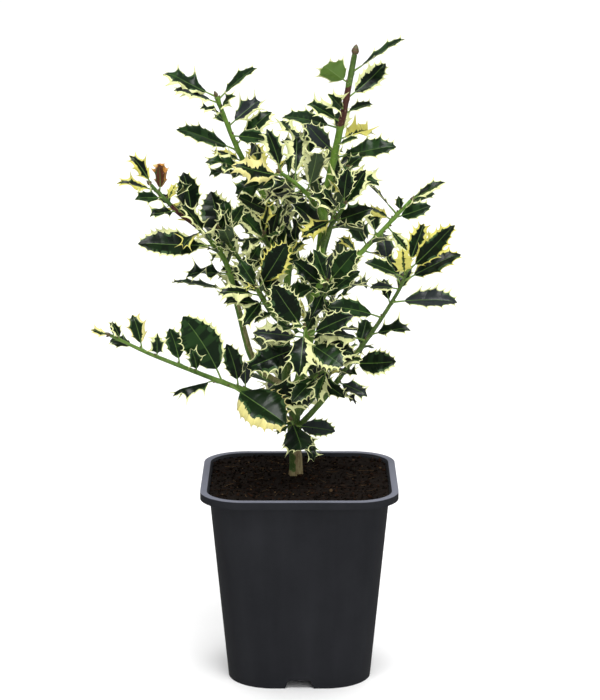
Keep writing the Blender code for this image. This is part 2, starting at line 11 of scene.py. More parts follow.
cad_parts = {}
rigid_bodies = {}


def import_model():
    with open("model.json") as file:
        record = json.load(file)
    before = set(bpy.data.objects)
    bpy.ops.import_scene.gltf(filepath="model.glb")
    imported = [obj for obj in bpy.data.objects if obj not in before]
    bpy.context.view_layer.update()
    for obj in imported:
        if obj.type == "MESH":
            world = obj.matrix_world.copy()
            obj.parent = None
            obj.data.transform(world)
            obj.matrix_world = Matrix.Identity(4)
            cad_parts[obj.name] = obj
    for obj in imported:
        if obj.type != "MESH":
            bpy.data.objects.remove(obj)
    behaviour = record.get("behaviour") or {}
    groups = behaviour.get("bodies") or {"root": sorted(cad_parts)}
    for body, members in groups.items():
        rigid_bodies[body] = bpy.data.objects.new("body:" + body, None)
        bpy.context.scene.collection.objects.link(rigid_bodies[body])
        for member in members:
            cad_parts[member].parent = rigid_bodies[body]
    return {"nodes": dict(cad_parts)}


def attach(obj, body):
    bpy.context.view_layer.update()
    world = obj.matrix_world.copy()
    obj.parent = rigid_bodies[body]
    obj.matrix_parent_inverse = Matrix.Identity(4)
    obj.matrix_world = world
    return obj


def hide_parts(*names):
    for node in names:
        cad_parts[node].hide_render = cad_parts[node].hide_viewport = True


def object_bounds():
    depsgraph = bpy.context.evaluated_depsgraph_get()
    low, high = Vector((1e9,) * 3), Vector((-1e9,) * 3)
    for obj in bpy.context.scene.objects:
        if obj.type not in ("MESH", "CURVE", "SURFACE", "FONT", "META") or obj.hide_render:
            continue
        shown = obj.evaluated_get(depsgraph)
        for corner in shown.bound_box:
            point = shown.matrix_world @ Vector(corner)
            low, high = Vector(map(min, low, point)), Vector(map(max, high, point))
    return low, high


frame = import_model()
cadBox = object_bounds()
mm = 0.001
print("frame loaded:", len(frame["nodes"]), "nodes")


# Shader maths

class Wire:  # one socket; arithmetic on it adds the nodes
    def __init__(self, tree, socket=None):
        self.tree = tree
        self.socket = socket

    def node(self, kind, settings=None, inputs=None, out=0):
        made = self.tree.nodes.new("ShaderNode" + kind)
        for key, value in (settings or {}).items():
            setattr(made, key, value)
        for key, value in (inputs or {}).items():
            if isinstance(value, Wire):
                self.tree.links.new(value.socket, made.inputs[key])
            else:
                made.inputs[key].default_value = value
        return Wire(self.tree, made.outputs[out])

    def maths(self, operation, *values):
        return self.node("Math", {"operation": operation}, dict(enumerate(values)))

    def __add__(self, other):
        return self.maths("ADD", self, other)

    def __sub__(self, other):
        return self.maths("SUBTRACT", self, other)

    def __mul__(self, other):
        return self.maths("MULTIPLY", self, other)

    def between(self, low, high):  # 0 below low, 1 above high
        return self.node("MapRange", {"clamp": True}, {"Value": self, "From Min": low, "From Max": high})

    def mixed(self, *colours):  # two colours, by this socket
        first, second = (colour if isinstance(colour, Wire) else (*colour, 1) for colour in colours)
        return self.node("Mix", {"data_type": "RGBA"}, {0: self, 6: first, 7: second}, out=2)

    def noise(self, scale, detail=3.0, rough=0.55, stretch=(1, 1, 1)):
        place = self.node("TexCoord", out=3)
        if stretch != (1, 1, 1):
            place = self.node("Mapping", inputs={"Vector": place, "Scale": stretch})
        return self.node("TexNoise", inputs={"Vector": place, "Scale": scale, "Detail": detail,
                                             "Roughness": rough})


def newMaterial(name, look):
    material = bpy.data.materials.new(name)
    material.use_nodes = True
    shader = material.node_tree.nodes["Principled BSDF"]
    shader.inputs["Base Color"].default_value = (*look["colour"], 1.0)
    shader.inputs["Roughness"].default_value = look["roughness"]
    shader.inputs["Coat Weight"].default_value = look.get("coat", 0.0)
    shader.inputs["Coat Roughness"].default_value = 0.2
    shader.inputs["Specular IOR Level"].default_value = look.get("specular", 0.5)
    return material, shader, Wire(material.node_tree)


def feed(shader, socket, wire):
    wire.tree.links.new(wire.socket, shader.inputs[socket])


def addRelief(shader, height, depth, strength=1.0):
    bump = height.node("Bump", inputs={"Height": height, "Distance": depth, "Strength": strength})
    feed(shader, "Normal", bump)


# Mesh helpers

def newPiece(name, mesh, materials, smoothAngle=40):
    for material in materials:
        mesh.materials.append(material)
    piece = bpy.data.objects.new(name, mesh)
    bpy.context.scene.collection.objects.link(piece)
    mesh.shade_smooth()
    mesh.set_sharp_from_angle(angle=math.radians(smoothAngle))
    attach(piece, "root")
    return piece


def toMesh(bm, name):
    mesh = bpy.data.meshes.new(name)
    bm.to_mesh(mesh)
    bm.free()
    return mesh


def skinRings(bm, rings, tints=None, layers=()):  # rings of equal length, in millimetres
    made = bmesh.ops.create_circle(bm, segments=len(rings[0]), radius=1)
    loop = made["verts"]
    ends = []
    for level, ring in enumerate(rings):
        if level:
            edges = [bm.edges.get((a, b)) for a, b in zip(loop, loop[1:] + loop[:1])]
            grown = bmesh.ops.extrude_edge_only(bm, edges=edges)["geom"]
            fresh = set(item for item in grown if isinstance(item, bmesh.types.BMVert))
            loop = [next(edge.other_vert(vert) for edge in vert.link_edges
                         if edge.other_vert(vert) in fresh) for vert in loop]
        for k, (vert, point) in enumerate(zip(loop, ring)):
            vert.co = point * mm
            for which, layer in enumerate(layers):
                vert[layer] = tints[level][k][which]
        if level in (0, len(rings) - 1):
            ends.append(list(loop))
    for loop in ends:
        bm.faces.new(loop)


def toArrays(bm):  # a small shape's points and faces
    bm.verts.index_update()
    points = np.array([vert.co[:] for vert in bm.verts])
    faces = [tuple(vert.index for vert in face.verts) for face in bm.faces]
    bm.free()
    return points, faces


def joinArrays(name, parts):  # parts: points, faces, material of each face
    points = np.concatenate([part[0] for part in parts])
    shifts = np.cumsum([0] + [len(part[0]) for part in parts[:-1]])
    faces = [tuple(corner + shift for corner in face) for part, shift in zip(parts, shifts.tolist())
             for face in part[1]]
    mesh = bpy.data.meshes.new(name)
    mesh.from_pydata((points * mm).tolist(), [], faces)
    mesh.polygons.foreach_set("material_index", np.concatenate([part[2] for part in parts]))
    mesh.update()
    return mesh


# Stage, lights and camera

stageLook = dict(
    camera=(0.0005, -2.006, 0.712), pitch=12.44, lens=129.8, sensor=36, floor=(0.92, 0.92, 0.92),
    floorSize=30, air=0.28,
    lights=dict(
        sky=dict(place=(0, 4.0, 4.2), aim=(0, 4.0, 0), size=10.0, power=460, mirrored=False),
        key=dict(place=(0.26, -1.05, 2.2), aim=(0, 0, 0.3), size=1.2, power=30),
        glint=dict(place=(-0.45, -1.1, 1.9), aim=(0, 0, 0.35), size=0.34, power=5),
        front=dict(place=(0.7, -2.2, 1.1), aim=(0, 0, 0.3), size=1.6, power=17, mirrored=False),
    ),
)


def addLight(name, look):
    light = bpy.data.lights.new(name, "AREA")
    light.shape = "DISK"
    light.size = look["size"]
    light.energy = look["power"]
    lamp = bpy.data.objects.new(name, light)
    lamp.location = look["place"]
    lamp.rotation_euler = (Vector(look["aim"]) - lamp.location).to_track_quat("-Z", "Y").to_euler()
    lamp.visible_glossy = look.get("mirrored", True)
    bpy.context.scene.collection.objects.link(lamp)


def makeStage():
    scene = bpy.context.scene
    scene.view_settings.view_transform = "Standard"
    camera = bpy.data.cameras.new("camera")
    camera.lens = stageLook["lens"]
    camera.sensor_width = stageLook["sensor"]
    eye = bpy.data.objects.new("camera", camera)
    eye.location = stageLook["camera"]
    eye.rotation_euler = (math.radians(90 - stageLook["pitch"]), 0, 0)
    scene.collection.objects.link(eye)
    scene.camera = eye
    for name, look in stageLook["lights"].items():
        addLight(name, look)
    world = bpy.data.worlds.new("studio")
    world.use_nodes = True
    air = world.node_tree.nodes["Background"]
    air.inputs["Color"].default_value = (1, 1, 1, 1)
    air.inputs["Strength"].default_value = stageLook["air"]
    scene.world = world
    bm = bmesh.new()
    bmesh.ops.create_grid(bm, x_segments=1, y_segments=1, size=stageLook["floorSize"])
    floor = bpy.data.objects.new("floor", toMesh(bm, "floor"))
    floorLook = dict(colour=stageLook["floor"], roughness=0.9, specular=0.1)
    floor.data.materials.append(newMaterial("floorPale", floorLook)[0])
    floor.visible_glossy = False
    scene.collection.objects.link(floor)


makeStage()
print("stage made")


# Pot

potLook = dict(
    height=163.5, rimHalf=80.0, rimCorner=35.0, rimWidth=5.3, lipHeight=6.2, lipWall=1.6,
    footHalf=58.5, footCorner=38.0, bodyHalf=72.6, bodyCorner=32.0, wall=1.6,
    floorUnder=8.0, padRadius=15.0, cornerSteps=16, flatSteps=6,
    notchWidth=24.0, notchTop=18.4, notchHeight=7.2, notchRound=2.4,
    drainRadius=5.0, drainReach=36.0, soilTop=161.0, edgeRound=0.55,
    colour=(0.0140, 0.0148, 0.0180), bloom=(0.0205, 0.0215, 0.0255), roughness=0.50,
    # rimSheenColour is a painted highlight: a lighter colour on the rim's top face, for the sheen of light
    # it catches
    rimSheenColour=(0.165, 0.172, 0.212),
)


def roundedSquare(half, corner, height):  # anticlockwise from above, corners then flats
    points = []
    for quarter in range(4):
        turn = Matrix.Rotation(quarter * math.pi / 2, 3, "Z")
        for step in range(potLook["cornerSteps"] + 1):
            angle = step / potLook["cornerSteps"] * math.pi / 2
            points.append(turn @ Vector((half - corner + math.cos(angle) * corner,
                                         half - corner + math.sin(angle) * corner, height)))
        for step in range(1, potLook["flatSteps"]):
            place = (half - corner) * (1 - 2 * step / potLook["flatSteps"])
            points.append(turn @ Vector((place, half, height)))
    return points


def bodyAt(height, inset=0.0):  # half width and corner of the tapering body
    share = height / (potLook["height"] - potLook["lipHeight"])
    half = potLook["footHalf"] + (potLook["bodyHalf"] - potLook["footHalf"]) * share
    corner = potLook["footCorner"] + (potLook["bodyCorner"] - potLook["footCorner"]) * share
    return half - inset, corner - inset


def potRings():  # from under the middle, out, up, over the lip and down inside
    look = potLook
    lipUnder = look["height"] - look["lipHeight"]
    shelf = look["height"] - look["lipWall"]
    floorTop = look["floorUnder"] + look["wall"]
    neck, neckCorner = bodyAt(lipUnder)
    lipHalf, lipCorner = look["rimHalf"] - look["lipWall"], look["rimCorner"] - look["lipWall"]
    mouthHalf, mouthCorner = look["rimHalf"] - look["rimWidth"], look["rimCorner"] - look["rimWidth"]
    return [
        roundedSquare(look["padRadius"], look["padRadius"], 0),
        roundedSquare(look["padRadius"], look["padRadius"], look["floorUnder"]),
        roundedSquare(*bodyAt(look["floorUnder"], look["wall"]), look["floorUnder"]),
        roundedSquare(*bodyAt(0, look["wall"]), 0),
        roundedSquare(*bodyAt(0), 0),
        roundedSquare(*bodyAt(look["notchHeight"] * 2), look["notchHeight"] * 2),
        roundedSquare(neck, neckCorner, lipUnder),
        roundedSquare(neck + look["wall"], neckCorner + look["wall"], shelf),
        roundedSquare(lipHalf, lipCorner, shelf),
        roundedSquare(lipHalf, lipCorner, lipUnder),
        roundedSquare(look["rimHalf"], look["rimCorner"], lipUnder),
        roundedSquare(look["rimHalf"], look["rimCorner"], look["height"]),
        roundedSquare(mouthHalf, mouthCorner, look["height"]),
        roundedSquare(*bodyAt(lipUnder, look["wall"]), lipUnder),
        roundedSquare(*bodyAt(floorTop, look["wall"]), floorTop),
    ]


def openingCutter():  # four round-cornered notches in the foot and four drain holes
    look = potLook
    bm = bmesh.new()
    for quarter in range(4):
        turn = Matrix.Rotation(quarter * math.pi / 2, 3, "Z")
        wide, narrow, high = look["notchWidth"] / 2, look["notchTop"] / 2, look["notchHeight"]
        corners = [(-wide, -1), (wide, -1), (narrow, high), (-narrow, high)]
        verts = [bm.verts.new(Vector((x, -look["footHalf"] - 5, z)) * mm) for x, z in corners]
        bm.faces.new(verts)
        rounded = bmesh.ops.bevel(bm, geom=verts[2:], offset=look["notchRound"] * mm, offset_type="OFFSET",
                                  segments=6, profile=0.5, affect="VERTICES", material=-1)
        face = rounded["faces"][0] if rounded["faces"] else verts[0].link_faces[0]
        grown = bmesh.ops.extrude_face_region(bm, geom=[face])["geom"]
        far = [item for item in grown if isinstance(item, bmesh.types.BMVert)]
        bmesh.ops.translate(bm, verts=far, vec=(0, 10 * mm, 0))
        side = far + list(face.verts)
        bmesh.ops.rotate(bm, verts=side, cent=(0, 0, 0), matrix=turn)
        spin = Matrix.Rotation((quarter + 0.5) * math.pi / 2, 3, "Z")
        hole = bmesh.ops.create_cone(bm, segments=32, radius1=look["drainRadius"] * mm, cap_ends=True,
                                     radius2=look["drainRadius"] * mm, depth=6 * mm)["verts"]
        middle = spin @ Vector((look["drainReach"], 0, 0)) + Vector((0, 0, look["floorUnder"]))
        bmesh.ops.translate(bm, verts=hole, vec=middle * mm)
    bmesh.ops.recalc_face_normals(bm, faces=bm.faces)
    return toMesh(bm, "potOpenings")


def potPlastic():
    material, shader, tree = newMaterial("potPlastic", dict(potLook, specular=0.12))
    cloud = tree.noise(14.0, detail=5.0)
    streak = tree.noise(60.0, detail=4.0, stretch=(1, 1, 0.07))
    grain = tree.noise(1800.0, detail=2.0)
    bloom = (cloud * 0.7 + streak * 0.5).between(0.50, 0.85)
    colour = bloom.mixed(potLook["colour"], potLook["bloom"])
    height = tree.node("SeparateXYZ", inputs={0: tree.node("TexCoord", out=3)}, out=2)
    # painted highlight: the top face of the rim is mixed towards rimSheenColour, lighter than the body, for
    # the light it catches
    top = (potLook["height"] - 0.5) * mm
    rimSheen = (height + (cloud - 0.5) * 0.0006).between(top, top + 0.0005)
    colour = rimSheen.mixed(colour, potLook["rimSheenColour"])
    feed(shader, "Base Color", colour)
    feed(shader, "Roughness", cloud * 0.16 + streak * 0.10 + (potLook["roughness"] - 0.11))
    addRelief(shader, grain + streak * 0.6, 0.00006, 0.6)
    return material


def makePot():
    bm = bmesh.new()
    skinRings(bm, potRings())
    bmesh.ops.recalc_face_normals(bm, faces=bm.faces)
    sharp = [edge for edge in bm.edges if edge.calc_face_angle(0) > math.radians(30)]
    bmesh.ops.bevel(bm, geom=sharp, offset=potLook["edgeRound"] * mm, offset_type="OFFSET", segments=3,
                    profile=0.5, affect="EDGES", material=-1, clamp_overlap=True)
    shell = bpy.data.objects.new("potShell", toMesh(bm, "potShell"))
    cutter = bpy.data.objects.new("potOpenings", openingCutter())
    for item in (shell, cutter):
        bpy.context.scene.collection.objects.link(item)
    cut = shell.modifiers.new("openings", "BOOLEAN")
    cut.operation = "DIFFERENCE"
    cut.solver = "EXACT"
    cut.object = cutter
    evaluated = shell.evaluated_get(bpy.context.evaluated_depsgraph_get())
    mesh = bpy.data.meshes.new_from_object(evaluated)
    for item in (shell, cutter):
        bpy.data.objects.remove(item)
    mesh.name = "plantPot"
    mesh.materials.clear()
    piece = newPiece("plantPot", mesh, [potPlastic()], 35)
    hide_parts("pot")


makePot()
print("pot made")


# Soil

soilLook = dict(
    gap=0.3, rings=64, lump=1.5, grain=0.55, crumbs=1500, crumbSize=(0.45, 1.5), fibres=260,
    colours=((0.004, 0.0028, 0.002), (0.009, 0.005, 0.0032), (0.024, 0.011, 0.006), (0.08, 0.05, 0.026)),
    shares=(0.50, 0.34, 0.13, 0.03), peat=(0.0048, 0.0031, 0.0022),
    mound=1.8, moundAt=(-1, 9), moundSpread=500, bigCrumbs=0.06,
    fibreLength=(4, 13), fibreWidth=(0.12, 0.32),
)


def soilHeight(x, y):
    place = Vector((x, y, 0))
    lumps = noise.fractal(place * 0.045, 1.0, 2.1, 4) * soilLook["lump"]
    grains = noise.turbulence(place * 0.35, 3, False) * soilLook["grain"]
    far = (x - soilLook["moundAt"][0]) ** 2 + (y - soilLook["moundAt"][1]) ** 2
    mound = soilLook["mound"] * math.exp(-far / soilLook["moundSpread"])
    return potLook["soilTop"] - 0.2 + lumps * 0.6 + grains + mound


def soilRings():
    look = potLook
    lipUnder = look["height"] - look["lipHeight"]
    floor = look["floorUnder"] + look["wall"] + soilLook["gap"]
    bottom, bottomCorner = bodyAt(floor, look["wall"] + soilLook["gap"])
    throat, throatCorner = bodyAt(lipUnder, look["wall"] + soilLook["gap"])
    inside = look["rimHalf"] - look["rimWidth"] - soilLook["gap"]
    share = (look["soilTop"] - lipUnder) / look["lipHeight"]
    top = throat + (inside - throat) * share
    insideCorner = look["rimCorner"] - look["rimWidth"] - soilLook["gap"]
    topCorner = throatCorner + (insideCorner - throatCorner) * share
    rings = [roundedSquare(bottom * 0.02, bottomCorner * 0.02, floor)]
    rings += [roundedSquare(bottom, bottomCorner, floor), roundedSquare(throat, throatCorner, lipUnder)]
    for level in range(soilLook["rings"], 0, -1):
        part = level / soilLook["rings"]
        ring = []
        for point in roundedSquare(top * part, topCorner * part, 0):
            drop = 1.0 * (part > 0.999)
            ring.append(Vector((point.x, point.y, soilHeight(point.x, point.y) - drop)))
        rings.append(ring)
    return rings


def soilMaterial(name, colour, rough=0.95):
    material, shader, tree = newMaterial(name, dict(colour=colour, roughness=rough, specular=0.06))
    fine = tree.noise(900.0, detail=6.0, rough=0.7)
    coarse = tree.noise(260.0, detail=4.0)
    dark = tuple(c * 0.45 for c in colour)
    light = tuple(min(1, c * 2.6 + 0.004) for c in colour)
    feed(shader, "Base Color", (fine * 0.7 + coarse * 0.5).between(0.42, 0.80).mixed(dark, light))
    addRelief(shader, fine + coarse, 0.0006, 0.9)
    return material


def crumbMaterial(name, colour):
    material, shader, tree = newMaterial(name, dict(colour=colour, roughness=0.92, specular=0.06))
    addRelief(shader, tree.noise(2200.0, detail=4.0), 0.0003, 0.8)
    return material


def crumbShape():  # a small faceted lump
    bm = bmesh.new()
    bmesh.ops.create_icosphere(bm, subdivisions=1, radius=1.0)
    return toArrays(bm)


def fibreShape():  # a thin three-sided strand in four lengths
    bm = bmesh.new()
    bmesh.ops.create_cone(bm, segments=3, radius1=1.0, radius2=0.5, depth=1.0, cap_ends=True)
    edges = [edge for edge in bm.edges if abs(edge.verts[0].co.z - edge.verts[1].co.z) > 0.5]
    bmesh.ops.subdivide_edges(bm, edges=edges, cuts=3, use_grid_fill=True)
    return toArrays(bm)


def litterSpot(rng, margin):  # a place on the soil, even over its area
    half = potLook["rimHalf"] - potLook["rimWidth"] - margin
    corner = potLook["rimCorner"] - potLook["rimWidth"] - margin
    while True:
        x, y = rng.uniform(-half, half), rng.uniform(-half, half)
        over = Vector((max(0, abs(x) - half + corner), max(0, abs(y) - half + corner)))
        if over.length < corner:
            return x, y


def makeLitter():
    rng = random.Random(41)
    lump, lumpFaces = crumbShape()
    strand, strandFaces = fibreShape()
    parts = []
    for _ in range(soilLook["crumbs"]):
        x, y = litterSpot(rng, 2.5)
        size = rng.uniform(*soilLook["crumbSize"]) * (
            1.6 if rng.random() < soilLook["bigCrumbs"] else 1.0)
        angle, axis = rng.uniform(0, math.tau), Vector((rng.random(), rng.random(), 1))
        turn = np.array(Matrix.Rotation(angle, 3, axis))
        rough = 1 + 0.28 * np.array([rng.uniform(-1, 1) for _ in lump])
        points = (lump * rough[:, None] * (1, rng.uniform(0.6, 1), rng.uniform(0.45, 0.8)) * size) @ turn.T
        kind = rng.choices(range(4), soilLook["shares"])[0]
        height = soilHeight(x, y) + size * 0.15
        parts.append((points + (x, y, height), lumpFaces, [kind] * len(lumpFaces)))
    for _ in range(soilLook["fibres"]):
        x, y = litterSpot(rng, 7.0)
        length, thick = rng.uniform(*soilLook["fibreLength"]), rng.uniform(*soilLook["fibreWidth"])
        bend = rng.uniform(-2.5, 2.5)
        points = strand * (thick, thick, length)
        points[:, 0] += bend * (1 - (2 * strand[:, 2]) ** 2)
        lay = Matrix.Rotation(rng.uniform(0, math.tau), 3, "Z") @ Matrix.Rotation(
            math.pi / 2 + rng.uniform(-0.12, 0.12), 3, "X")
        points = points @ np.array(lay).T
        kind = rng.choices(range(1, 4), (0.3, 0.5, 0.2))[0]
        parts.append((points + (x, y, soilHeight(x, y) + 0.35), strandFaces, [kind] * len(strandFaces)))
    mesh = joinArrays("soilLitter", parts)
    names = ("peatDark", "peatBrown", "peatRed", "peatTan")
    materials = [crumbMaterial(name, colour) for name, colour in zip(names, soilLook["colours"])]
    piece = newPiece("soilLitter", mesh, materials, 180)


def makeSoil():
    bm = bmesh.new()
    skinRings(bm, soilRings())
    bmesh.ops.recalc_face_normals(bm, faces=bm.faces)
    piece = newPiece("soilFill", toMesh(bm, "soilFill"), [soilMaterial("peat", soilLook["peat"])], 180)
    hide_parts("soil")


makeSoil()
makeLitter()
print("soil made")


# Growth rule: the limbs and leaves of the plant, in millimetres

limbPlan = dict(gap=0.3, stemSides=4, ringStep=17.0, fineStep=2.0, seatSteps=6, flare=1.1, flareReach=9.0)

leafPlan = dict(
    seed=7, petiole=0.20, widthShare=(0.43, 0.57), arch=(0.05, 0.12), spineOut=1.14, valleyIn=0.88,
    short=((0.22, 0.68), (0.45,)), long=((0.14, 0.40, 0.70), (0.27, 0.55)), longLeaf=46.0,
    wave=0.06, fold=0.22, ribShare=0.011, goldenTurn=math.radians(137.5), clearance=0.7, tries=5,
    aimTurn=0.16, aimTilt=0.10, ruleTurn=0.38, overRim=4, nearShare=0.62,
)

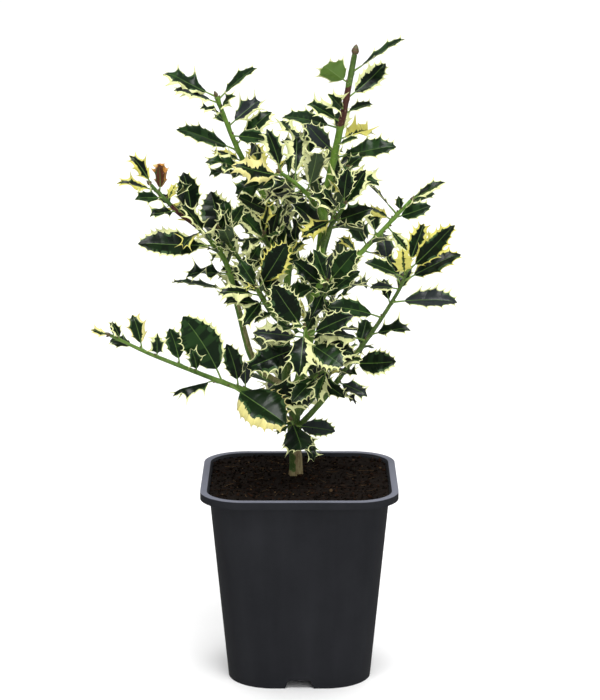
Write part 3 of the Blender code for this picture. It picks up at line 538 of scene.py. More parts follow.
# a limb's parent, where it grows there, the points it goes through, its foot and tip radius, the
# share that is bare, and its leaves: those aimed at a tip with a lean, then those of the rule
limbTable = {
    "leader": dict(
        through=[(2, 12, 161.3), (-5, 8, 190), (-1, 4, 235), (8, 4, 280), (17, 6, 350),
                 (21, 5, 393), (35, 0, 462), (44, -2, 511)],
        foot=5.2, tip=2.2, bare=0.745, leaves=3, length=28,
        aimed=[(0.955, (82, -10, 524), 12, 0.40), (0.93, (19, -16, 503), -62, 0.94),
               (0.895, (69, 10, 502), 65), (0.86, (59, 14, 469), 20), (0.84, (7, -6, 472), 45, 0.62),
               (0.87, (24, -20, 480), 70, 0.60), (0.826, (-14, 5, 460), 28), (0.757, (77, -8, 438), 40),
               (0.80, (58, 32, 445), 45), (0.77, (6, -14, 456), 75), (0.785, (46, -22, 446), 45, 0.36)],
    ),
    "upright": dict(
        parent="leader", at=0.155, foot=4.0, tip=1.6, bare=0.50, leaves=11, length=36,
        through=[(-10, 13, 232), (-11, 17, 265), (-11, 20, 307), (-9, 18, 349), (-20, 12, 379),
                 (-36, 5, 408), (-51, -2, 438), (-66, -8, 478)],
        aimed=[(0.995, (-106, -10, 498), 35), (0.975, (-97, -24, 484), 22), (0.985, (-34, -2, 500), 14),
               (0.96, (-52, -26, 480), 60), (0.94, (-77, -24, 471), 35), (0.90, (-31, 8, 473), 45),
               (0.87, (-26, -22, 444), 60), (0.82, (-97, -14, 453), 28), (0.755, (-72, -28, 430), 50),
               (0.84, (-22, 14, 463), 35), (0.60, (-50, -10, 398), 55), (0.56, (-42, 8, 384), 60)],
    ),
    "left": dict(
        parent="leader", at=0.20, foot=3.4, tip=1.3, bare=0.44, leaves=5, length=34,
        through=[(-35, -7, 258), (-49, -16, 306), (-59, -20, 346), (-80, -25, 374), (-96, -28, 387),
                 (-108, -30, 400), (-118, -33, 411)],
        aimed=[(0.99, (-133, -34, 434), 60), (0.97, (-143, -38, 414), 35), (0.93, (-128, -46, 402), 45),
               (0.95, (-111, -30, 426), 60, 0.66), (0.91, (-98, -28, 410), 70),
               (0.86, (-117, -46, 389), 40), (0.79, (-92, -24, 419), 60, 0.56),
               (0.72, (-93, -40, 396), 50, 0.32), (0.67, (-127, -46, 366), 45, 0.50),
               (0.62, (-71, -6, 401), 74, 0.60),
               (0.55, (-88, -46, 342), 30), (0.48, (-103, -10, 329), 4, 0.34)],
    ),
    "inner_left": dict(
        parent="upright", at=0.24, foot=2.6, tip=1.4, bare=0.40, leaves=7, length=34,
        through=[(-25, 0, 304), (-40, -10, 334), (-56, -20, 360), (-64, -26, 375)],
        aimed=[(0.93, (-44, -32, 394), 45), (0.62, (-32, -36, 362), 75), (0.97, (-58, -40, 388), 80)],
    ),
    "low_right": dict(
        parent="leader", at=0.11, foot=2.5, tip=1.2, bare=0.24, leaves=2, length=32,
        through=[(17, -8, 227), (30, -15, 246), (46, -24, 272), (59, -31, 292), (72, -36, 314),
                 (81, -40, 331), (86, -42, 346)],
        aimed=[(1.0, (99, -30, 379), 65, 0.46), (0.976, (117, -50, 388), 50, 0.40),
               (0.96, (81, -58, 363), 60, 0.56), (0.925, (128, -34, 356), 38, 0.50),
               (0.943, (52, -52, 352), 40, 0.46), (0.905, (70, -18, 352), 50),
               (0.885, (56, -44, 330), 35, 0.50), (0.81, (125, -50, 320), 42, 0.42),
               (0.72, (22, -52, 316), 45), (0.62, (86, -56, 300), 35), (0.58, (12, -54, 294), 30),
               (0.44, (77, -40, 269), 66, 0.62), (0.32, (54, -36, 241), 45), (0.27, (9, 2, 252), 60)],
    ),
    "mid_right": dict(
        parent="leader", at=0.455, foot=2.5, tip=1.4, bare=0.24, leaves=4, length=34,
        through=[(40, 15, 338), (52, 22, 348), (68, 30, 363), (80, 35, 375), (92, 40, 387)],
        aimed=[(0.995, (119, 40, 402), 35, 0.44), (0.80, (107, 28, 384), 62, 0.54),
               (0.77, (56, 36, 380), 45), (0.83, (43, 34, 411), 0, 0.30), (0.48, (42, 4, 377), 68, 0.54),
               (0.64, (71, 16, 343), 66, 0.80), (0.32, (38, 0, 326), 55), (0.38, (33, 30, 358), 40),
               (0.87, (81, 30, 391), 60), (0.71, (82, 18, 342), 60, 0.42)],
    ),
    "low_left": dict(
        parent="leader", at=0.125, foot=2.7, tip=1.2, bare=0.26, leaves=2, length=26,
        through=[(-30, -22, 235), (-54, -36, 248), (-91, -50, 266), (-126, -56, 282), (-140, -58, 290),
                 (-150, -60, 295)],
        aimed=[(0.45, (-92, -52, 308), 75, 0.60), (0.41, (-10, -70, 225), 62, 0.78),
               (0.475, (-101, -60, 249), 4, 0.40), (0.29, (11, -26, 233), 62, 0.62),
               (0.58, (-86, -60, 284), 50), (0.66, (-103, -50, 298), 55), (0.77, (-112, -70, 297), 60),
               (0.84, (-132, -52, 310), 65), (0.95, (-147, -66, 306), 50), (0.995, (-164, -62, 300), 45),
               (0.33, (-44, -26, 266), -60), (0.365, (-58, -40, 283), 45)],
    ),
    "front": dict(
        parent="leader", at=0.26, foot=2.6, tip=1.4, bare=0.45, leaves=5, length=38,
        through=[(6, -26, 274), (6, -52, 290), (4, -68, 304)],
        aimed=[(0.66, (34, -70, 272), 58, 0.66), (0.90, (-20, -78, 338), 75), (0.80, (42, -66, 312), 55),
               (0.76, (-36, -62, 298), 60), (0.97, (0, -92, 270), 48, 0.60), (0.60, (-40, -66, 270), 70),
               (0.54, (44, -46, 277), 50, 0.60)],
    ),
    "front_left": dict(
        parent="upright", at=0.30, foot=2.4, tip=1.3, bare=0.40, leaves=7, length=38,
        through=[(-18, -14, 304), (-28, -36, 318), (-34, -54, 332)],
        aimed=[(0.95, (-10, -60, 368), 75), (0.75, (-44, -64, 304), 60), (0.60, (-60, -38, 318), 45)],
    ),
    "front_right": dict(
        parent="leader", at=0.55, foot=2.2, tip=1.2, bare=0.0, leaves=6, length=36,
        through=[(26, -14, 376), (32, -34, 388), (36, -48, 398)],
        aimed=[(0.45, (57, -36, 392), 70), (0.80, (52, -46, 424), 65), (0.55, (2, -44, 372), 60)],
    ),
    "heart": dict(
        parent="leader", at=0.61, foot=2.4, tip=1.2, bare=0.0, leaves=8, length=36,
        through=[(9, -8, 396), (-4, -20, 410), (-16, -28, 420)],
        aimed=[(0.97, (-26, -34, 454), 70), (0.80, (-52, -24, 404), 40), (0.45, (14, -30, 438), -70),
               (0.90, (-48, -34, 442), 65), (0.70, (-2, 8, 446), 50)],
    ),
    "high_right": dict(
        parent="leader", at=0.68, foot=2.0, tip=1.2, bare=0.0, leaves=4, length=32,
        through=[(32, -8, 414), (38, -18, 422)],
        aimed=[(0.60, (50, -12, 430), 50), (0.90, (54, -46, 414), 45)],
    ),
    "mid_left": dict(
        parent="upright", at=0.46, foot=2.2, tip=1.2, bare=0.0, leaves=9, length=38,
        through=[(-18, 2, 342), (-24, -12, 356), (-28, -24, 370)],
        aimed=[(0.90, (-47, -6, 352), 50)],
    ),
    "mid_front": dict(
        parent="leader", at=0.40, foot=2.2, tip=1.2, bare=0.0, leaves=8, length=38,
        through=[(16, -14, 312), (20, -32, 324), (22, -48, 336)],
        aimed=[(0.90, (44, -58, 362), 60), (0.80, (-4, -48, 352), 65)],
    ),
    "back_left": dict(
        parent="leader", at=0.41, foot=2.8, tip=1.3, bare=0.34, leaves=12, length=42,
        through=[(4, 32, 318), (-4, 66, 344), (-14, 106, 376)],
    ),
    "back_right": dict(
        parent="leader", at=0.24, foot=2.8, tip=1.3, bare=0.36, leaves=12, length=42,
        through=[(14, 36, 266), (24, 74, 288), (36, 114, 312)],
    ),
    "back_low": dict(
        parent="leader", at=0.085, foot=2.4, tip=1.3, bare=0.38, leaves=10, length=38,
        through=[(-6, 34, 210), (-14, 64, 222), (-20, 94, 240)],
    ),
    "back_high": dict(
        parent="leader", at=0.60, foot=2.2, tip=1.2, bare=0.0, leaves=10, length=38,
        through=[(16, 26, 398), (8, 54, 414), (2, 82, 434)],
    ),
    "back_mid_left": dict(
        parent="upright", at=0.42, foot=2.4, tip=1.3, bare=0.36, leaves=10, length=38,
        through=[(-20, 40, 328), (-32, 64, 340), (-44, 90, 354)],
    ),
    "back_mid_right": dict(
        parent="leader", at=0.50, foot=2.2, tip=1.2, bare=0.30, leaves=10, length=36,
        through=[(26, 28, 368), (30, 56, 386), (34, 86, 404)],
    ),
    "low_mid": dict(
        parent="leader", at=0.225, foot=2.2, tip=1.2, bare=0.0, leaves=5, length=34,
        through=[(12, -10, 250), (20, -24, 258), (26, -36, 264)],
        aimed=[(0.80, (14, -46, 238), 60), (0.50, (-6, -42, 236), 65)],
    ),
    "low_front": dict(
        parent="leader", at=0.12, foot=1.6, tip=1.1, bare=0.0, leaves=0, length=30,
        through=[(-6, -7, 210), (-7, -13, 215)],
        aimed=[(0.95, (2, -44, 198), 40, 0.86), (0.10, (29, -18, 206), 55, 0.50),
               (0.50, (24, -24, 193), 15, 0.44)],
    ),
    "low_back": dict(
        parent="leader", at=0.145, foot=2.2, tip=1.2, bare=0.0, leaves=8, length=36,
        through=[(14, 20, 228), (26, 38, 242), (36, 54, 258)],
    ),
}


# leaves with a look of their own: limb, then order among its aimed leaves
# leafSlate in these notes is painted sheen: a grey-blue tone for a glossy leaf seen at a glancing angle
leafNotes = {
    ("leader", 0): dict(margins=(0.10, 0.05), habit="smooth"),
    ("leader", 1): dict(margins=(0.06, 0.10), under="leafTender", habit="smooth"),
    ("leader", 4): dict(margins=(0.30, 0.30)),
    ("leader", 5): dict(margins=(0.25, 0.35)),
    ("leader", 6): dict(margins=(0.08, 0.06), habit="smooth"),
    ("leader", 7): dict(margins=(0.07, 0.06), habit="smooth"),
    ("leader", 8): dict(margins=(0.9, 0.9), pale="leafYellow"),
    ("leader", 9): dict(margins=(0.14, 0.06), habit="smooth", green="leafSlate"),
    ("upright", 1): dict(habit="smooth", green="leafSlate"),
    ("upright", 5): dict(margins=(0.12, 0.22), green="leafSlate"),
    ("upright", 7): dict(habit="smooth"),
    ("upright", 8): dict(margins=(0.10, 0.30)),
    ("left", 0): dict(margins=(0.42, 0.50), pale="leafYellow"),
    ("left", 3): dict(margins=(0.3, 0.2), pale="leafRusset", green="leafRust", under="leafRusset",
                      habit="smooth", curl=2.6, fold=1.1, width=9.5, arch=-0.28),
    ("left", 4): dict(margins=(0.9, 0.9), pale="leafYellow", habit="smooth"),
    ("left", 6): dict(margins=(0.05, 0.10), habit="smooth"),
    ("left", 8): dict(margins=(0.10, 0.22), habit="flat", fold=0.34, roll=-0.05, green="leafDeep"),
    ("left", 9): dict(margins=(0.04, 0.20), habit="flat", fold=0.30, green="leafDeep"),
    ("left", 11): dict(margins=(0.04, 0.04), habit="smooth"),
    ("low_right", 0): dict(margins=(0.34, 0.46), pale="leafYellow", green="leafDeep"),
    ("low_right", 1): dict(margins=(0.30, 0.14), pale="leafYellow", habit="smooth", green="leafDeep"),
    ("low_right", 2): dict(margins=(0.9, 0.9), pale="leafYellow", habit="smooth"),
    ("low_right", 3): dict(margins=(0.30, 0.05), pale="leafYellow", habit="smooth", fold=0.4, arch=0.15),
    ("low_right", 4): dict(margins=(0.08, 0.12), habit="smooth"),
    ("low_right", 6): dict(margins=(0.30, 0.06), habit="smooth", green="leafSlate"),
    ("low_right", 7): dict(margins=(0.10, 0.06), habit="smooth", green="leafSlate", arch=0.17),
    ("low_right", 8): dict(margins=(0.07, 0.05), habit="smooth"),
    ("low_right", 11): dict(margins=(0.07, 0.14), habit="flat"),
    ("low_right", 12): dict(margins=(0.10, 0.05), green="leafSlate"),
    ("low_right", 13): dict(margins=(0.05, 0.06), green="leafSlate", under="leafSlate"),
    ("mid_right", 0): dict(margins=(0.15, 0.55)),
    ("mid_right", 1): dict(margins=(0.10, 0.05), habit="smooth"),
    ("mid_right", 3): dict(margins=(0.05, 0.05), habit="smooth"),
    ("mid_right", 5): dict(margins=(0.05, 0.05), habit="smooth", green="leafSlate"),
    ("low_left", 0): dict(margins=(0.04, 0.12), habit="flat", fold=0.22),
    ("low_left", 1): dict(margins=(0.04, 0.30), habit="flat", fold=0.34, roll=-0.30, curl=0.30,
                          pale="leafButter", green="leafDark"),
    ("low_left", 2): dict(margins=(0.10, 0.10), habit="wavy", fold=-0.60),
    ("low_left", 3): dict(margins=(0.10, 0.22), habit="wavy"),
    ("low_left", 7): dict(margins=(0.12, 0.45), pale="leafButter"),
    ("low_left", 8): dict(margins=(0.30, 0.10)),
    ("low_left", 9): dict(margins=(0.6, 0.6), pale="leafButter"),
    ("low_left", 11): dict(margins=(0.05, 0.05), habit="smooth", green="leafDeep"),
    ("front", 0): dict(margins=(0.08, 0.20), habit="flat"),
    ("front_left", 0): dict(margins=(0.08, 0.20), habit="flat", pale="leafYellow"),
    ("heart", 3): dict(margins=(0.5, 0.7), pale="leafButter"),
    ("low_front", 0): dict(margins=(0.05, 0.07), habit="smooth", fold=-0.55, green="leafDeep"),
    ("low_front", 1): dict(margins=(0.04, 0.06), green="leafSlate"),
    ("low_front", 2): dict(margins=(0.05, 0.05), under="leafSlate"),
}


def smoothPath(points, step=limbPlan["ringStep"]):  # evenly spaced points on a smooth curve
    ends = [points[0] * 2 - points[1], *points, points[-1] * 2 - points[-2]]
    fine = []
    for a, b, c, d in zip(ends, ends[1:], ends[2:], ends[3:]):
        for k in range(12):
            t = k / 12
            fine.append(0.5 * (2 * b + (c - a) * t + (2 * a - 5 * b + 4 * c - d) * t * t
                               + (3 * b - 3 * c + d - a) * t ** 3))
    fine.append(points[-1])
    lengths = [0.0]
    for a, b in zip(fine, fine[1:]):
        lengths.append(lengths[-1] + (b - a).length)
    count = max(4, round(lengths[-1] / step))
    path = []
    k = 0
    for i in range(count + 1):
        goal = lengths[-1] * i / count
        while k < len(fine) - 2 and lengths[k + 1] < goal:
            k += 1
        share = (goal - lengths[k]) / (lengths[k + 1] - lengths[k])
        path.append(fine[k].lerp(fine[k + 1], share))
    return path


def along(path, share):  # the point and the direction at a share of a path's length
    place = min(max(share, 0.0), 1.0) * (len(path) - 1)
    k = min(int(place), len(path) - 2)
    point = path[k].lerp(path[k + 1], place - k)
    before = path[max(k - 1, 0)] if place - k < 0.5 else path[k]
    after = path[k + 1] if place - k < 0.5 else path[min(k + 2, len(path) - 1)]
    return point, (after - before).normalized()


def radiusAt(limb, share):  # a limb tapers all along, and the trunk also flares out at its foot
    radius = limb["foot"] + (limb["tip"] - limb["foot"]) * share
    if limb.get("parent") is None:
        radius += limbPlan["flare"] * math.exp(-share * limb["span"] / limbPlan["flareReach"])
    return radius


def tubeRings(limb, start, end, sides):  # rings round a limb from one share of its length to another
    count = max(2, round((end - start) * limb["span"] / limbPlan["ringStep"]))
    side = Vector((1, 0, 0))
    rings = []
    for i in range(count + 1):
        share = start + (end - start) * i / count
        centre, direction = along(limb["path"], share)
        side = (side - direction * side.dot(direction)).normalized()
        other = direction.cross(side)
        radius = radiusAt(limb, share)
        turns = [k / sides * math.tau for k in range(sides)]
        rings.append([centre + (side * math.cos(a) + other * math.sin(a)) * radius for a in turns])
    if start == 0 and "seat" in limb:
        spot, square = limb["seat"]
        _, direction = along(limb["path"], 0)
        slope = direction.dot(square)
        rings[0] = [p - direction * ((p - spot).dot(square) / slope) for p in rings[0]]
    return rings


def seatHeight(bearer, share, square, reach):  # how far a limb's parent stands out near its foot
    root, _ = along(bearer["path"], share)
    heights = []
    for k in range(-limbPlan["seatSteps"], limbPlan["seatSteps"] + 1):
        near = share + 1.5 * reach * k / limbPlan["seatSteps"] / bearer["span"]
        heights.append((along(bearer["path"], near)[0] - root).dot(square) + radiusAt(bearer, near))
    return max(heights)


def planLimbs():  # work out each limb's path, and seat its foot on a slanted cut clear of its parent
    limbs = {}
    for name, given in limbTable.items():
        parent = given.get("parent")
        points = [Vector(point) for point in given["through"]]
        if parent is not None:
            bearer = limbs[parent]
            root, direction = along(bearer["path"], given["at"])
            out = (points[0] - root).normalized()
            square = (out - direction * out.dot(direction)).normalized()
            clear = seatHeight(bearer, given["at"], square, given["foot"] / out.dot(square))
            clear += limbPlan["gap"]
            points.insert(0, root + out * (clear / out.dot(square)))
            seat = dict(seat=(points[0], square), root=root)
        else:
            seat = {}
        path = smoothPath(points)
        span = (path[1] - path[0]).length * (len(path) - 1)
        limbs[name] = dict(given, **seat, name=name, parent=parent, path=path, span=span)
    flattenFoot(limbs["leader"])
    for limb in limbs.values():
        limb["fine"] = smoothPath(limb["path"], limbPlan["fineStep"])
    return limbs


def flattenFoot(limb):  # start the trunk straight up, so that its first ring is its flat cut
    limb["path"][0] = Vector((limb["path"][1].x, limb["path"][1].y, limb["path"][0].z))
    rise = limb["path"][1] - limb["path"][0]
    limb["path"][1] = limb["path"][0] + Vector((0, 0, rise.z))


def leafRings(leaf, swell=0.0, bladeOnly=False):  # rings: left edge, upper rib, right edge, under rib
    root, tip, length = leaf["root"], leaf["tip"], (leaf["tip"] - leaf["root"]).length
    half = leaf["width"] / 2
    rib = max(0.4, leafPlan["ribShare"] * length)
    bend = root.lerp(tip, 0.45) + leaf["out"] * length * 0.10 + leaf["face"] * length * leaf["arch"]
    stations = [(0.0, 0.0, 0.0), (leafPlan["petiole"], 0.0, 0.0)]
    size = "long" if length > leafPlan["longLeaf"] else "short"
    spines, valleys = leafPlan[size]
    marks = sorted([(b, leafPlan["spineOut"], leafPlan["wave"]) for b in spines]
                   + [(b, leafPlan["valleyIn"], -leafPlan["wave"]) for b in valleys])
    for b, factor, wave in marks:
        oval = math.sin(math.pi * b ** 0.85) ** 0.75
        place = leafPlan["petiole"] + (1 - leafPlan["petiole"]) * b
        stations.append((place, half * oval * factor, wave * half))
    rings = []
    for u, reach, wave in stations[1 if bladeOnly else 0:]:
        centre = root * (1 - u) ** 2 + bend * 2 * u * (1 - u) + tip * u * u
        direction = ((bend - root) * (1 - u) + (tip - bend) * u).normalized()
        face = (leaf["face"] - direction * leaf["face"].dot(direction)).normalized()
        side = direction.cross(face)
        reach = max(reach, rib) + swell
        lift = face * (leafPlan["fold"] * reach + wave if reach > 2 * rib else 0.0)
        thick = face * (rib + swell)
        rings.append([centre - side * reach + lift, centre - thick,
                      centre + side * reach + lift, centre + thick])
    rings.append([tip])
    return rings


def treeOf(ringSets):  # a search tree over the skins of closed solids
    points = []
    faces = []
    for rings in ringSets:
        starts = []
        for ring in rings:
            starts.append(len(points))
            points.extend(ring)
        for low, high, a, b in zip(starts, starts[1:], rings, rings[1:]):
            for i in range(len(a)):
                j = (i + 1) % len(a)
                if len(b) == 1:
                    faces.append((low + i, low + j, high))
                else:
                    faces.append((low + i, low + j, high + j, high + i))
    return BVHTree.FromPolygons(points, faces)


def makeLeaf(limb, share, tip, hint, rng, broad=None):  # from the limb's axis to a tip, facing a hint
    root, direction = along(limb["path"], share)
    reach = tip - root
    out = reach - direction * reach.dot(direction)
    out.normalize()
    axis = reach.normalized()
    face = (hint - axis * hint.dot(axis)).normalized()
    wide = (broad or rng.uniform(*leafPlan["widthShare"])) * reach.length * (1 - leafPlan["petiole"])
    return dict(root=root, tip=tip, out=out, face=face, arch=rng.uniform(*leafPlan["arch"]), width=wide,
                share=share)


def aimedLeaves(limb, rng):  # the leaves with a place of their own, each with the turns it may take
    for order, (share, tip, lean, *broad) in enumerate(limb.get("aimed", ())):
        lean = math.radians(lean)
        hint = Vector((0, -math.sin(lean), math.cos(lean)))
        root = along(limb["path"], share)[0]
        reach = Vector(tip) - root
        offers = []
        for k in range(leafPlan["tries"]):
            turn = Matrix.Rotation((-1) ** k * k * leafPlan["aimTurn"], 3, hint)
            turn = turn @ Matrix.Rotation(leafPlan["aimTilt"] * k, 3, "X")
            leaf = makeLeaf(limb, share, root + turn @ reach, hint, rng, *broad)
            leaf["order"] = order
            offers.append(leaf)
        yield offers


def ruleLeaves(limb, rng):  # leaves spaced along the foliage, each a golden turn on from the last
    start = limb["bare"]
    phase = rng.uniform(0, math.tau)
    count = limb["leaves"]
    for k in range(count):
        place = (k + rng.uniform(0.4, 0.8)) / count
        share = start + (1 - start) * (0.08 + 0.92 * place)
        root, direction = along(limb["path"], share)
        size = limb["length"] * (1.08 - 0.35 * place ** 3) * rng.uniform(0.86, 1.16)
        spread = math.radians(72 - 40 * place) + rng.uniform(-0.15, 0.15)
        tilt = Vector((rng.uniform(-0.5, 0.5), rng.uniform(-0.9, 0.1), 1))
        offers = []
        for attempt in range(leafPlan["tries"]):
            turn = phase + k * leafPlan["goldenTurn"] + (-1) ** attempt * attempt * leafPlan["ruleTurn"]
            side = direction.orthogonal().normalized()
            out = Matrix.Rotation(turn, 3, direction) @ side
            way = out * math.sin(spread) + direction * math.cos(spread) + Vector((0, 0, 0.18))
            tip = root + way.normalized() * size
            offers.append(makeLeaf(limb, share, tip, tilt + direction * 0.4, rng))
        yield offers


def planLeaves(limbs):  # give each leaf the first of its offers that touches nothing else
    stems = {}
    for name, limb in limbs.items():
        wood = [tubeRings(limb, 0.0, 1.0, limbPlan["stemSides"])]
        stems[name] = treeOf(wood)
    placed = []
    planned = {name: [] for name in limbs}
    for source in (aimedLeaves, ruleLeaves):
        for index, (name, limb) in enumerate(limbs.items()):
            rng = random.Random(leafPlan["seed"] * 1000 + index * 10 + (source is ruleLeaves))
            for offers in source(limb, rng):
                for leaf in offers:
                    if leafIsClear(leaf, name, stems, placed):
                        planned[name].append(leaf)
                        break
    return planned, stems, placed


def leafIsClear(leaf, name, stems, placed):  # test a swollen copy against the wood and the leaves so far
    whole = treeOf([leafRings(leaf, leafPlan["clearance"])])
    blade = treeOf([leafRings(leaf, leafPlan["clearance"], bladeOnly=True)])
    centre = leaf["root"].lerp(leaf["tip"], 0.5)
    reach = (leaf["tip"] - leaf["root"]).length * leafPlan["nearShare"]
    low = min(leaf["root"].z, leaf["tip"].z)
    if low < potLook["height"] + leafPlan["overRim"]:
        return False
    for other, tree in stems.items():
        if (blade if other == name else whole).overlap(tree):
            return False
    for spot, size, tree, owner in placed:
        if (spot - centre).length < size + reach:
            if (blade if owner == name else whole).overlap(tree):
                return False
    placed.append((centre, reach, blade, name))
    placed.append((centre, reach, whole, None))
    return True


# Wood

woodLook = dict(
    step=1.4, trunkSides=22, sides=14, scar=0.50, ridge=0.14, collar=0.30,
    green=(0.030, 0.070, 0.013), paleGreen=(0.125, 0.200, 0.044), freshGreen=(0.070, 0.155, 0.018),
    freshPale=(0.190, 0.330, 0.048), brown=(0.165, 0.115, 0.048), tan=(0.45, 0.39, 0.21),
    red=(0.040, 0.010, 0.010), redPale=(0.110, 0.045, 0.030), roughness=0.50,
    corkSide=5.95, soft=(0.02, 0.012, 0.012), scarAbove=5, scarBelow=14, scarWidth=1.7, endSink=1.6,
)

# brown, red and fresh green bark: limb, from and to along it in shares, which, how strong, and how far
# it goes round: the cosine at its edge from the side to the right of the front, or -2 for all round
barkZones = (
    ("leader", 0.0, 0.016, 0, 0.9, -2), ("leader", 0.0, 0.085, 0, 0.95, 0.22),
    ("leader", 0.40, 0.42, 0, 0.8, -2), ("leader", 0.832, 0.925, 1, 0.95, -2),
    ("left", 0.77, 0.89, 1, 0.9, -2), ("left", 0.0, 0.45, 0, 0.55, 0.2),
    ("upright", 0.0, 0.30, 0, 0.35, 0.2), ("low_left", 0.0, 0.25, 0, 0.3, 0.2),
    ("leader", 0.22, 0.93, 2, 1.0, -2), ("mid_right", 0.0, 1.1, 2, 1.0, -2),
    ("left", 0.10, 0.75, 2, 0.6, -2), ("upright", 0.2, 1.1, 2, 0.8, -2), ("heart", 0.0, 1.1, 2, 0.8, -2),
    ("low_left", 0.3, 1.1, 2, 0.35, -2), ("front", 0.0, 1.1, 2, 0.8, -2),
    ("front_left", 0.0, 1.1, 2, 0.6, -2),
)
barkLayers = ("brown", "red", "fresh")  # the tints of barkZones, by their numbers


def barkTints(name, share, angle, spot):  # brown, red and fresh green at a point, each 0 to 1
    tints = [0.0, 0.0, 0.0]
    for limbName, start, end, which, strong, edge in barkZones:
        if limbName == name:
            soft = woodLook["soft"][which]
            ends = (end - share) / soft if start == 0.0 else min(share - start, end - share) / soft
            inside = min(max(ends + 0.5 + 0.8 * noise.noise(spot * 0.4), 0.0), 1.0)
            sway = 0.25 * noise.noise(spot * 0.25)
            side = min(max((math.cos(angle - woodLook["corkSide"]) + sway - edge) / 0.3 + 0.5, 0.0), 1.0)
            tints[which] = max(tints[which], inside * strong * side)
    return tints


def limbSurface(limb, leaves):  # rings with bark relief, and the tints at their points
    look = woodLook
    rng = random.Random(len(limb["name"]) * 31 + round(limb["span"]))
    seedSpot = Vector((rng.uniform(-50, 50), rng.uniform(-50, 50), 0))
    sides = look["trunkSides"] if limb["parent"] is None else look["sides"]
    fine = limb["fine"]
    sink = (limb["root"] - fine[0]).length if "root" in limb else look["endSink"]
    count = round((limb["span"] + sink) / look["step"])
    side = Vector((1, 0, 0))
    rings = []
    tints = []
    for level in range(count + 1):
        reach = -sink + (limb["span"] + sink) * level / count
        share = max(reach / limb["span"], 0.0)
        centre, direction = along(fine, share)
        if reach < 0 and "root" in limb:
            centre = fine[0].lerp(limb["root"], -reach / sink)
        elif reach < 0:
            centre = centre - direction * (-reach)
        side = (side - direction * side.dot(direction)).normalized()
        other = direction.cross(side)
        radius = radiusAt(limb, share)
        if limb["parent"] is not None:
            radius += look["collar"] * limb["foot"] * math.exp(-(max(reach, 0) / limb["foot"]) ** 2)
        tail = (limb["span"] - reach) / radius
        radius *= math.sqrt(max(1 - max(1 - tail, 0) ** 2, 0.02))
        rough = 0.05 + 0.30 * math.exp(-max(reach, 0) / 26) * (limb["parent"] is None)
        ring = []
        ringTints = []
        for k in range(sides):
            angle = k / sides * math.tau
            out = side * math.cos(angle) + other * math.sin(angle)
            spot = seedSpot + Vector((math.cos(angle) * 3.2, math.sin(angle) * 3.2, reach * 0.16))
            bump = noise.noise(spot) * rough * 1.6 + noise.noise(spot * 3.1) * rough
            for leaf in leaves:
                past = reach - leaf["share"] * limb["span"]
                if -look["scarBelow"] < past < look["scarAbove"]:
                    facing = max(out.dot(leaf["out"]), 0.0)
                    bump += look["scar"] * facing ** 3 * math.exp(-(past / look["scarWidth"]) ** 2)
                    if past < 0:
                        bump += look["ridge"] * facing ** 10 * (1 + past / look["scarBelow"])
            ring.append(centre + out * (radius + bump * min(1.0, radius / 1.6)))
            ringTints.append(barkTints(limb["name"], share, angle, ring[-1]))
        rings.append(ring)
        tints.append(ringTints)
    return rings, tints


def barkMaterial():
    look = dict(woodLook, colour=woodLook["green"], specular=0.25)
    material, shader, tree = newMaterial("greenBark", look)
    brown, red, fresh = (tree.node("Attribute", {"attribute_name": tint}, out=2) for tint in barkLayers)
    streaks = tree.noise(420.0, detail=5.0, rough=0.65, stretch=(1, 1, 0.22))
    blotch = tree.noise(90.0, detail=4.0)
    flecks = tree.noise(700.0, detail=2.0).between(0.62, 0.70)
    dull = (streaks * 0.6 + blotch * 0.6).between(0.42, 0.82)
    green = dull.mixed(look["green"], look["paleGreen"])
    green = fresh.mixed(green, dull.mixed(look["freshGreen"], look["freshPale"]))
    cork = streaks.between(0.35, 0.72).mixed(look["brown"], look["tan"])
    young = (blotch * 0.5 + streaks * 0.5).between(0.40, 0.66).mixed(look["red"], look["redPale"])
    corky = (brown + (blotch - 0.5) * 0.5 + (streaks - 0.5) * 0.6).between(0.30, 0.62)
    reddish = (red + (blotch - 0.5) * 0.4).between(0.35, 0.6)
    colour = reddish.mixed(corky.mixed(green, cork), young)
    colour = (flecks * 0.35).mixed(colour, look["tan"])
    feed(shader, "Base Color", colour)
    feed(shader, "Roughness", corky * 0.25 + streaks * 0.2 + (look["roughness"] - 0.15))
    addRelief(shader, streaks * 1.2 + flecks * 0.5 + blotch * 0.5, 0.00035, 0.8)
    return material


def makeWood(limbs, planned):
    material = barkMaterial()
    groups = {"trunk": ["leader"], "boughs": [], "spurs": []}
    for name, limb in limbs.items():
        if limb["parent"] is not None:
            groups["boughs" if limb["bare"] else "spurs"].append(name)
    for group, names in groups.items():
        bm = bmesh.new()
        layers = [bm.verts.layers.float.new(tint) for tint in barkLayers]
        for name in names:
            rings, tints = limbSurface(limbs[name], planned[name])
            skinRings(bm, rings, tints=tints, layers=layers)
        bmesh.ops.recalc_face_normals(bm, faces=bm.faces)
        piece = newPiece(group, toMesh(bm, group), [material], 60)
        if group == "trunk":
            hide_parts("trunk")
        elif group == "boughs":
            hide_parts(*["bough_" + name for name in names])


# Leaves

leafLook = dict(
    strips=13, petioleRows=4, scallop=(0.07, 0.19, 0.36, 0.58, 0.80, 0.93, 1.0), petioleRadius=0.72,
    baseSwell=0.55, spineBase=(0.42, 0.80), spineLean=0.9, slant=0.055,
    thickness=(0.50, 0.26), rib=0.38, ribWidth=0.30, quilt=0.20, spread=1.12, twist=0.90, specular=0.28,
    # greens and unders are the shares of each leaf colour; the last share of each is leafSlate, painted
    # sheen
    spineShape=(1.0, 0.78, 0.50, 0.30, 0.10, 0, 0), habits=(0.16, 0.30, 0.54), greens=(0.50, 0.46, 0.04),
    unders=(0.7, 0.3), evenColumns=(1.0, 0.84, 0.68, 0.52, 0.36, 0.20, 0.07), spineCount=(2, 9), young=25,
    leastPale=0.028, mostPale=0.90,
)

